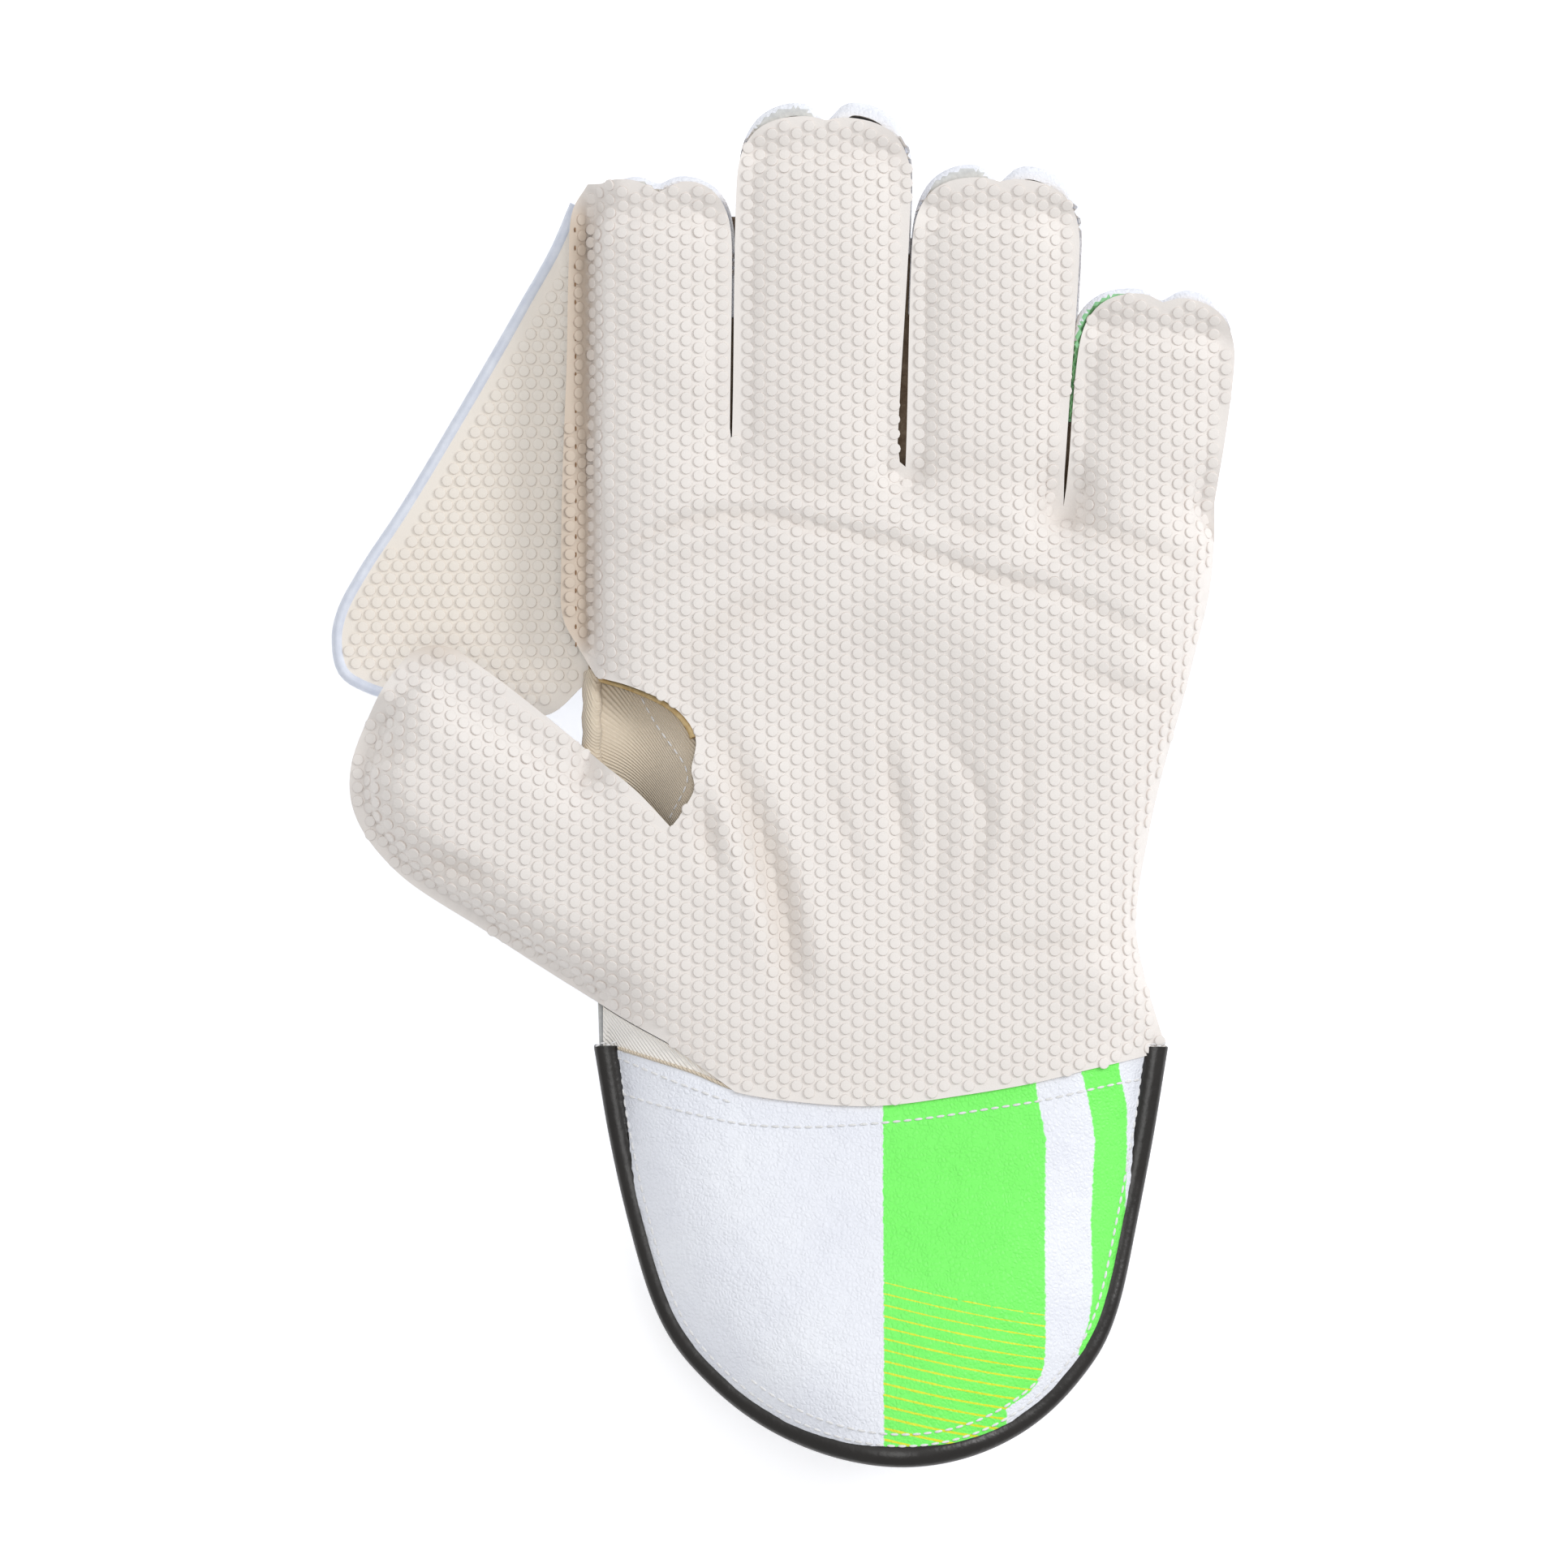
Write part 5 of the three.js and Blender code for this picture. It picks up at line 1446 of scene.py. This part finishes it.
def pad_seams():
    """Rows of stitches that part each pad into rolls: across the fingers and the thumb, along the hand."""
    seams = {"hand": []}
    for finger in fingers:
        reach = finger["half"] * finger["waist"] - ROLL_MARGIN
        ends = np.array([-reach, reach])
        rows = np.arange(ROLL_FIRST, finger["length"] - TIP_ROUND, ROLL_PITCH)
        seams[finger["name"]] = [
            resampled(on_finger(finger, ends, np.array([row, row])), PAD_STEP) for row in rows
        ]
    reach = THUMB_WIDTH / 2 - ROLL_MARGIN
    seams["thumb"] = [
        resampled(on_thumb(np.array([row, row]), np.array([-reach, reach * 0.8])), PAD_STEP)
        for row in THUMB_LENGTH * np.array(THUMB_ROLLS)
    ]
    for share in HAND_ROLLS:
        top = np.array([palm_left + share * PALM_WIDTH, PALM_LENGTH * HAND_ROLL_TOP])
        low = np.array([(share - 0.5) * WRIST_WIDTH * HAND_ROLL_NARROWS, PALM_LENGTH * HAND_ROLL_FOOT])
        seams["hand"].append(resampled([low, top], PAD_STEP))
    return seams


def swollen(piece, held):
    """Places of the pad's points once its filling has pushed the skin out between the seams."""
    scene = bpy.context.scene
    piece.vertex_groups.new(name="held").add([int(i) for i in np.nonzero(held)[0]], 1, "REPLACE")
    filling = piece.modifiers.new("filling", "CLOTH")
    filling.settings.vertex_group_mass = "held"
    filling.settings.mass = SKIN_MASS
    filling.settings.quality = 4
    filling.settings.use_pressure = True
    filling.settings.uniform_pressure_force = PAD_PRESSURE
    filling.settings.effector_weights.gravity = 0
    filling.collision_settings.use_collision = False
    for frame in range(1, PAD_FRAMES + 1):
        scene.frame_set(frame)
    full = piece.evaluated_get(bpy.context.evaluated_depsgraph_get()).data
    places = np.empty(len(full.vertices) * 3)
    full.vertices.foreach_get("co", places)
    scene.frame_set(1)
    piece.modifiers.remove(filling)
    piece.vertex_groups.clear()
    return places.reshape(-1, 3)


def fill_pad(piece, held):
    """Fill the pad, but move no point more than its filling would and none into the floor."""
    mesh = piece.data
    start = np.empty(len(mesh.vertices) * 3)
    mesh.vertices.foreach_get("co", start)
    start = start.reshape(-1, 3)
    move = swollen(piece, held) - start
    length = np.linalg.norm(move, axis=1, keepdims=True)
    places = start + move * np.minimum(1, PAD_SWELL * MM / np.maximum(length, 1e-9))
    places[:, 2] = np.maximum(places[:, 2], np.minimum(start[:, 2], FLOOR_GAP * MM))
    mesh.vertices.foreach_set("co", places.ravel())
    mesh.update()


def resting(points):
    """Underside of the leather back, a hair above the floor where it rests."""
    return np.maximum(back_under(points), FLOOR_GAP)


def add_backs():
    """Padded leather back: six pads, each sewn into rolls."""
    outline = body_outline(1, lobe_notch)
    foot = resampled([outline[-1, :2], (-wrist_half, 0), (wrist_half, 0)], PAD_STEP)[1:-1]
    outline = np.vstack([outline[:, :2], foot])
    cuts = pad_cuts(outline)
    seams = pad_seams()
    every_seam = [line for lines in seams.values() for line in lines]
    plan, faces = plan_mesh(outline, PAD_STEP, [*cuts, *every_seam])
    names = pad_names(plan[faces].mean(axis=1), cuts)
    for name, lines in seams.items():
        used, own = np.unique(faces[names == name], return_inverse=True)
        own = own.reshape(-1, 3)
        places = plan[used]
        rolls = np.min([nearest(places, line)[0] for line in lines], axis=0)
        sink = ROLL_SINK * hump(rolls, ROLL_WIDTH)

        def under(points, sink=sink):
            return resting(points) + sink

        def over(points, under=under):
            return np.maximum(back_top(points), under(points) + PAD_THINNEST)

        mesh = wall(f"{name}_pad", places, own, over, under, [inner_cloth_and_lobe_shade, leather, leather])
        pad = make_piece(f"{name}_pad", mesh)
        at_rim = np.isin(np.arange(len(places)), np.unique(rim_edges(own)))
        fill_pad(pad, np.append(np.ones(len(places), bool), at_rim | (rolls < SEWN_WITHIN)))
        ride(pad, "white_leather", f"{name}_back")
    rows = [on_height(line, resting, ROLL_SINK - 0.2) for line in every_seam]
    add_stitches(white_stitches, "pad_stitches", rows, PAD_STITCH, "white_leather")

def lobe_edge(finger, grow):
    """The leather's edge round a fingertip, with the notch between its two lobes."""
    lobes = np.array(finger["lobes"])
    edge = finger_edge(finger, grow, lobes, (LOBE_NOTCH, lobes.max() + 1), TIP_POWER)[:, :2]
    along = finger_place(finger, edge)[1]
    return edge[along > finger["length"] - TIP_ROUND * LOBE_REACH]


def add_tip_lobes():
    """Two rounded leather lobes behind each fingertip, white outside; inside, the left lobe is gray for its
    inner face with painted shade, or green on the little finger.
    """
    for finger in fingers:
        right, left = (lobe_edge(finger, spread) for spread in finger["spread"])
        right = right[finger_place(finger, right)[0] > 0]
        left = left[finger_place(finger, left)[0] <= 0]
        outer = resampled(np.vstack([right, left]), 1)
        outline = np.vstack([outer, offset(outer, LOBE_DEPTH)[::-1]])

        def upper(points, outer=outer):
            rise = leather_rim(points) + LOBE_RISE * bulge(nearest(points, outer)[0] / LOBE_ROUND, 2)
            return np.where(is_inside(points, rubber_outline), palm_top(points) - RUBBER_WALL - GAP, rise)

        def lower(points):
            return leather_rim(points) - LOBE_UNDER

        plan, faces = plan_mesh(outline, LOBE_STEP)
        green = finger["name"] in GREEN_LOBES
        finishes = [leather, leather, leather, green_leather if green else inner_cloth_and_lobe_shade]
        mesh = wall(f"{finger['name']}_lobes", plan, faces, upper, lower, finishes)
        middles = plan[faces].mean(axis=1)
        # Inside of the left lobes: gray painted shade on the leather's inner face, green leather on the
        # little finger
        left_inside_shade = (nearest(middles, outer)[0] > LOBE_WHITE) & (finger_place(finger, middles)[0] < 0)
        slots = np.ones(len(mesh.polygons), np.int32)
        slots[:len(left_inside_shade)] = left_inside_shade * 3
        mesh.polygons.foreach_set("material_index", slots)
        ride(make_piece(f"{finger['name']}_lobes", mesh), "white_leather")


def gusset_top(points):
    return leather_rim(points) - GUSSET_DEPTH


def gusset_under(points):
    return gusset_top(points) - GUSSET_WALL


def add_gussets():
    """Leather deep between the fingers, where their backs are sewn together."""
    for i, (_, foot) in enumerate(slits):
        rows = np.linspace(foot - 2, foot + GUSSET_LENGTHS[i], GUSSET_ROWS)
        sides = []
        for finger, turn in ((fingers[i], 1), (fingers[i + 1], -1)):
            across = turn * (finger["half"] * finger["waist"] - GUSSET_INSET) / math.cos(finger["angle"])
            lean = (rows - finger["y"]) * math.tan(finger["angle"])
            sides.append(np.column_stack([finger["x"] + across + lean, rows]))
        outline = np.vstack([sides[1], sides[0][::-1]])
        name = f"gusset_{i + 1}"
        # The dark brown is partly the leather's colour, partly painted shade deep in the slits
        mesh, _, _ = sheet(name, outline, CLOTH_STEP, gusset_top, gusset_under, [gusset_leather_and_slit_shade] * 3)
        ride(make_piece(name, mesh), "white_leather")


def web_top(points):
    away = palm_left - points[:, 0]
    free = finger_seam(points[:, 1]) - GAP - WEB_DROOP * smooth(away / (WEB_WIDTH / 3))
    return np.where(is_inside(points, leather_sides), np.minimum(free, back_under(points) - GAP * 3), free)


web_top_end = index_tip - TIP_ROUND / 4
web_rows = [(palm_left - GAP - out * WEB_WIDTH, web_top_end - down * WEB_HEIGHT) for down, out in WEB_EDGE]
web_bound = curve(web_rows[:WEB_BOUND_ROWS], EDGE_STEP)
web_loose = curve(web_rows[WEB_BOUND_ROWS - 1:], EDGE_STEP)[1:]


def add_web():
    """Rubber web with its pimples turned along its free edge, and the folded strip round that edge."""
    bound = offset(web_bound, BINDING_WIDTH * 0.2)
    side = resampled([(palm_left - GAP, web_loose[-1, 1] + 1), (palm_left - GAP, web_top_end)], EDGE_STEP)
    outline = np.vstack([bound, web_loose[:-1], side[:-1]])

    def under(points):
        return web_top(points) - WEB_WALL

    mesh, plan, faces = sheet(
        "web_sheet", outline, EDGE_STEP, web_top, under, [web_rubber, cut_edge, inner_cloth_and_lobe_shade],
    )
    # No painted shade and no flange tone on the web
    unmarked = np.zeros(len(plan))
    add_numbers(mesh, "crease_shade_and_flange_tone", np.append(unmarked, unmarked))
    piece = make_piece("web_sheet", mesh)
    points = on_height(plan, web_top)
    bare = (nearest(plan, closed_line(outline))[0] < BINDING_WIDTH) * 1.0
    flat = laid_flat(points, faces)
    turned = np.column_stack([flat[:, 1], -flat[:, 0]])
    turned += PATTERN_MIDDLE - turned.mean(axis=0)
    carrier = face_carrier(points, faces, turned, unmarked, bare)
    pimples = pimples_on_web.grow(carrier, "web_pimples", PIMPLE_SIZES)
    ride(piece, "web_rubber", "web_panel")
    ride(pimples, "web_rubber")
    path = on_height(offset(web_bound, BINDING_WIDTH / 2 - WEB_OUT), web_top, -WEB_WALL / 2)
    radius = BINDING_WIDTH / 2 + 0.3
    add_cord("web_binding_strip", path, radius, 12, binding_skin, "binding_leather", "web_binding")


def lining_top(points):
    """Level with the rim on its free side, under the rubber on the other, and sagging most low down."""
    deep = np.clip((points[:, 0] - palm_left) / WINDOW_DEPTH, 0, 1)
    low = smooth((window_top - points[:, 1]) / WINDOW_HEIGHT)
    free = seam(points) + EDGE_WALL + LINING_OVER_RIM
    level = mix(free, palm_under(points) - GAP * 4, smooth(deep))
    return level - LINING_SAG * np.sin(math.pi * deep) ** 2 * mix(0.25, 1, low)


def lining_under(points):
    return lining_top(points) - CLOTH_WALL


def add_lining():
    """Twill seen through the window, with its rolled free side, the yellowed fold and a row of stitches."""
    left = palm_left - 0.4
    far = offset(window_line, LINING_MARGIN)
    low_right = (window_line[-1, 0] + 4, window_line[-1, 1] - LINING_MARGIN * 2)
    far = np.vstack([far[far[:, 0] > left], [low_right, (left + 6, crotch[1] - 10)]])
    free_side = resampled([(left, far[0, 1]), (left, crotch[1] - 4)], EDGE_STEP)
    outline = np.vstack([free_side, far[::-1]])
    mesh, plan, faces = sheet("crotch_cloth", outline, CLOTH_STEP, lining_top, lining_under, [twill] * 3)
    cloth = make_piece("crotch_cloth", mesh)
    ride(cloth, "lining_cloth", "crotch_lining")
    tell_cut(plan, faces, lining_top)
    side = resampled([(left + 1, window_top + 1), (left + 1, crotch[1] + 1)], EDGE_STEP)
    wobble = 0.5 * np.sin(side[:, 1] * 0.9)
    path = np.column_stack([side[:, 0] + wobble * 0.4, side[:, 1], lining_top(side) - 0.8 + wobble * 0.3])
    add_cord("lining_roll", path, LINING_ROLL / 2, 12, twill, "lining_cloth")
    edge = offset(window_line[:int(len(window_line) * 0.62)], -0.5)
    path = on_height(edge, lining_top, 1.4)
    add_cord("window_fold", path, np.linspace(0.5, 1, len(path)), 10, yellowed, "lining_cloth")
    row = on_height(curve(np.array(LINING_ROW) - SHIFT, EDGE_STEP), lining_top, 0.15)
    add_stitches(white_stitches, "lining_stitches", [row], LINING_STITCH, "lining_cloth")


def add_flange_stitches():
    """Raw brown thread ends that stand out along the flange beside the index finger."""
    x = palm_left - FLANGE_ROW
    line = resampled([(x, window_top + 8), (x, index_tip - 12)], EDGE_STEP)
    add_stitches(
        brown_stitches, "flange_stitches", [on_height(line, palm_top, 0.2)], FLANGE_STITCH, "cotton_tape",
    )


def tape_top(points):
    return np.maximum(palm_top(points) - 1, seam(points) + EDGE_WALL - 0.2)


def tape_under(points):
    return tape_top(points) - CLOTH_WALL


def braid_top(points):
    return np.maximum(tape_top(points), flap_top(points))


def add_tape():
    """Cotton strip in the wedge between thumb and cuff, with its stitches and the braid below it."""
    lower = wrist_line[wrist_line[:, 0] < HEM_START * wrist_half + 3]
    heel_line = thumb_rubber[heel_at:, :2]
    upper = heel_line[heel_line[:, 0] > -wrist_half + 1]
    left = -wrist_half + 1
    outline = np.vstack([[(left, 0)], lower + (0, 0.2), upper[::-1] - (0, 0.3), [(left, upper[0, 1])]])
    mesh, plan, faces = sheet("wrist_strip", outline, TAPE_STEP, tape_top, tape_under, [tape_weave] * 3)
    strip = make_piece("wrist_strip", mesh)
    ride(strip, "cotton_tape", "wrist_tape")
    tell_cut(plan, faces, tape_top)
    row = on_height(curve(np.array(TAPE_ROW) - SHIFT, EDGE_STEP), tape_top, 0.1)
    add_stitches(white_stitches, "tape_stitches", [row], TAPE_STITCH, "cotton_tape")
    add_cord("wrist_braid", on_height(lower + (0, 0.7), braid_top, 0.1), 0.45, 8, twill, "cotton_tape")


def cuff_edge(inset):
    rows = [(down * CUFF_LENGTH, half * CUFF_WIDTH / 2) for down, half in CUFF_SIDE]
    left = [(cuff_centre(down) - half, -down) for down, half in rows]
    right = [(cuff_centre(down) + half, -down) for down, half in rows[-2::-1]]
    return offset(curve(left + right, EDGE_STEP), inset)


def below(line, level):
    return line[line[:, 1] <= level]


def flap_outline(top_line):
    return np.vstack([below(cuff_edge(PIPING * 0.7), -PIPING / 2), top_line[::-1]])


def front_under(points):
    return np.maximum(flap_top(points) - CUFF_WALL, seam(points) + SEAM_GAP / 2)


def back_flap_top(points):
    return np.minimum(flap_under(points) + CUFF_WALL, seam(points) - SEAM_GAP / 2)


def front_piping(points):
    return np.maximum(flap_top(points) - CUFF_WALL / 2, seam(points) + (SEAM_GAP + PIPING) / 2)


def back_piping(points):
    level = np.minimum(flap_under(points) + CUFF_WALL / 2, seam(points) - (SEAM_GAP + PIPING) / 2)
    return np.maximum(level, PIPING / 2)


def add_cuffs():
    """Both flaps of the cuff, the piping round each, and the loose threads at the piping's raw ends."""
    front_line = wrist_line * (0.995, 1) + (0, 0.6)
    mesh, plan, _ = sheet(
        "cuff_front_flap", flap_outline(front_line), EDGE_STEP, flap_top, front_under,
        [cuff_leather, leather, leather],
    )
    add_stripes(mesh, plan)
    front = make_piece("cuff_front_flap", mesh)
    reach = CUFF_WIDTH / 2 - PIPING
    back_line = resampled([(-reach, -GAP), (reach, -GAP)], EDGE_STEP)
    mesh, _, _ = sheet(
        "cuff_back_flap", flap_outline(back_line), EDGE_STEP, back_flap_top, flap_under, [leather] * 3,
    )
    back = make_piece("cuff_back_flap", mesh)
    ride(front, "white_leather", "cuff_front")
    ride(back, "white_leather", "cuff_back")
    line = cuff_edge(PIPING / 2 + PIPING_INSET)
    line = np.vstack([line[:1] + (0, PIPING_ENDS[0]), line, line[-1:] + (0, PIPING_ENDS[1])])
    for side, height in (("front", front_piping), ("back", back_piping)):
        add_cord(
            f"piping_{side}", on_height(line, height), PIPING / 2, 16, vinyl, "piping_vinyl",
            f"cuff_{side}_piping", wide=PIPING_OVAL,
        )
    frays = []
    for end in (0, -1):
        places = line[end] + PIPING_FRAY
        level = front_piping(line)[end] + PIPING * 0.4
        frays.append(np.column_stack([places, np.full(len(places), level)]))
    add_stitches(white_stitches, "piping_threads", frays, FRAY_STITCH, "white_leather")


def add_cuff_stitches():
    """Rows of stitches beside the piping and along the hem, standing in the leather's grain."""
    lines = [below(cuff_edge(inset), level) for inset, level in STITCH_ROWS]
    lines += [curve(np.array(row) - SHIFT, EDGE_STEP) for row in HEM_STITCHES]
    rows = [on_height(line, flap_top, 0.1) for line in lines]
    add_stitches(white_stitches, "cuff_stitches", rows, CUFF_STITCH, "white_leather")


def add_stripes(mesh, plan):
    """How far each point lies inside a stripe, and its place among the fine rows on the wide one."""
    x = plan[:, 0] + SHIFT[0]
    y = plan[:, 1] + SHIFT[1]
    wide = np.minimum(x - STRIPE_LEFT, np.interp(-y, *np.array(WIDE_RIGHT).T) - x)
    left = np.interp(-y, *np.array(NARROW_LEFT).T)
    right = np.interp(-y, *np.array(NARROW_RIGHT).T)
    narrow = np.minimum(x - left, right - x)
    across = np.clip(x - STRIPE_LEFT, 0, None)
    level = y + across * ROW_SLOPE - across ** 2 * ROW_BEND
    share = np.clip((ROW_TOP - level) / (ROW_TOP - ROW_END), 0, 1)
    width = np.where((level < ROW_TOP) & (wide > -2), mix(0.05, 0.12, share), -1)
    rows = (level - ROW_TOP) / ROW_PITCH
    stripe = np.maximum(wide, narrow)
    add_numbers(mesh, "stripe", np.append(stripe, np.full(len(stripe), NO_PRINT)))
    add_numbers(mesh, "rows", np.append(rows, rows))
    add_numbers(mesh, "row_width", np.append(width, width))


add_rubber()
add_backs()
add_tip_lobes()
add_gussets()
add_web()
add_lining()
add_flange_stitches()
add_tape()
add_cuffs()
add_cuff_stitches()


# Floor, light and camera
def add_floor():
    """Plain pale floor, wide enough to fill every view."""
    half = FLOOR_WIDTH / 2
    corners = [(-half, -half, 0), (half, -half, 0), (half, half, 0), (-half, half, 0)]
    mesh = make_mesh("floor", corners, [(0, 1, 2, 3)], [])
    finish = Finish("floor_paint", 0.9, Emission_Color=(1, 1, 1, 1), Emission_Strength=FLOOR_GLOW)
    tone = finish.noise(finish.place(), 3)
    finish.color(finish.blend(tone, shade(252, 252, 253), shade(248, 248, 250)))
    mesh.materials.append(finish.material)
    floor = make_piece("floor", mesh)


def add_light(name, place, size, power):
    lamp = bpy.data.lights.new(name, "AREA")
    lamp.size = size * MM
    lamp.energy = power
    light = bpy.data.objects.new(name, lamp)
    light.location = Vector(place) * MM
    light.rotation_euler = (Vector(LIGHT_AIM) - Vector(place)).to_track_quat("-Z", "Y").to_euler()
    bpy.context.scene.collection.objects.link(light)


def add_camera():
    lens = bpy.data.cameras.new("camera")
    lens.lens = CAMERA_LENS
    lens.sensor_width = CAMERA_SENSOR
    camera = bpy.data.objects.new("camera", lens)
    camera.location = Vector(CAMERA_PLACE) * MM
    bpy.context.scene.collection.objects.link(camera)
    bpy.context.scene.camera = camera


add_floor()
for lamp_row in LIGHTS:
    add_light(*lamp_row)
world = bpy.data.worlds.new("studio")
world.use_nodes = True
world.node_tree.nodes["Background"].inputs["Color"].default_value = (1, 1, 1, 1)
world.node_tree.nodes["Background"].inputs["Strength"].default_value = SKY_LIGHT
bpy.context.scene.world = world
bpy.context.scene.view_settings.view_transform = "Standard"
add_camera()
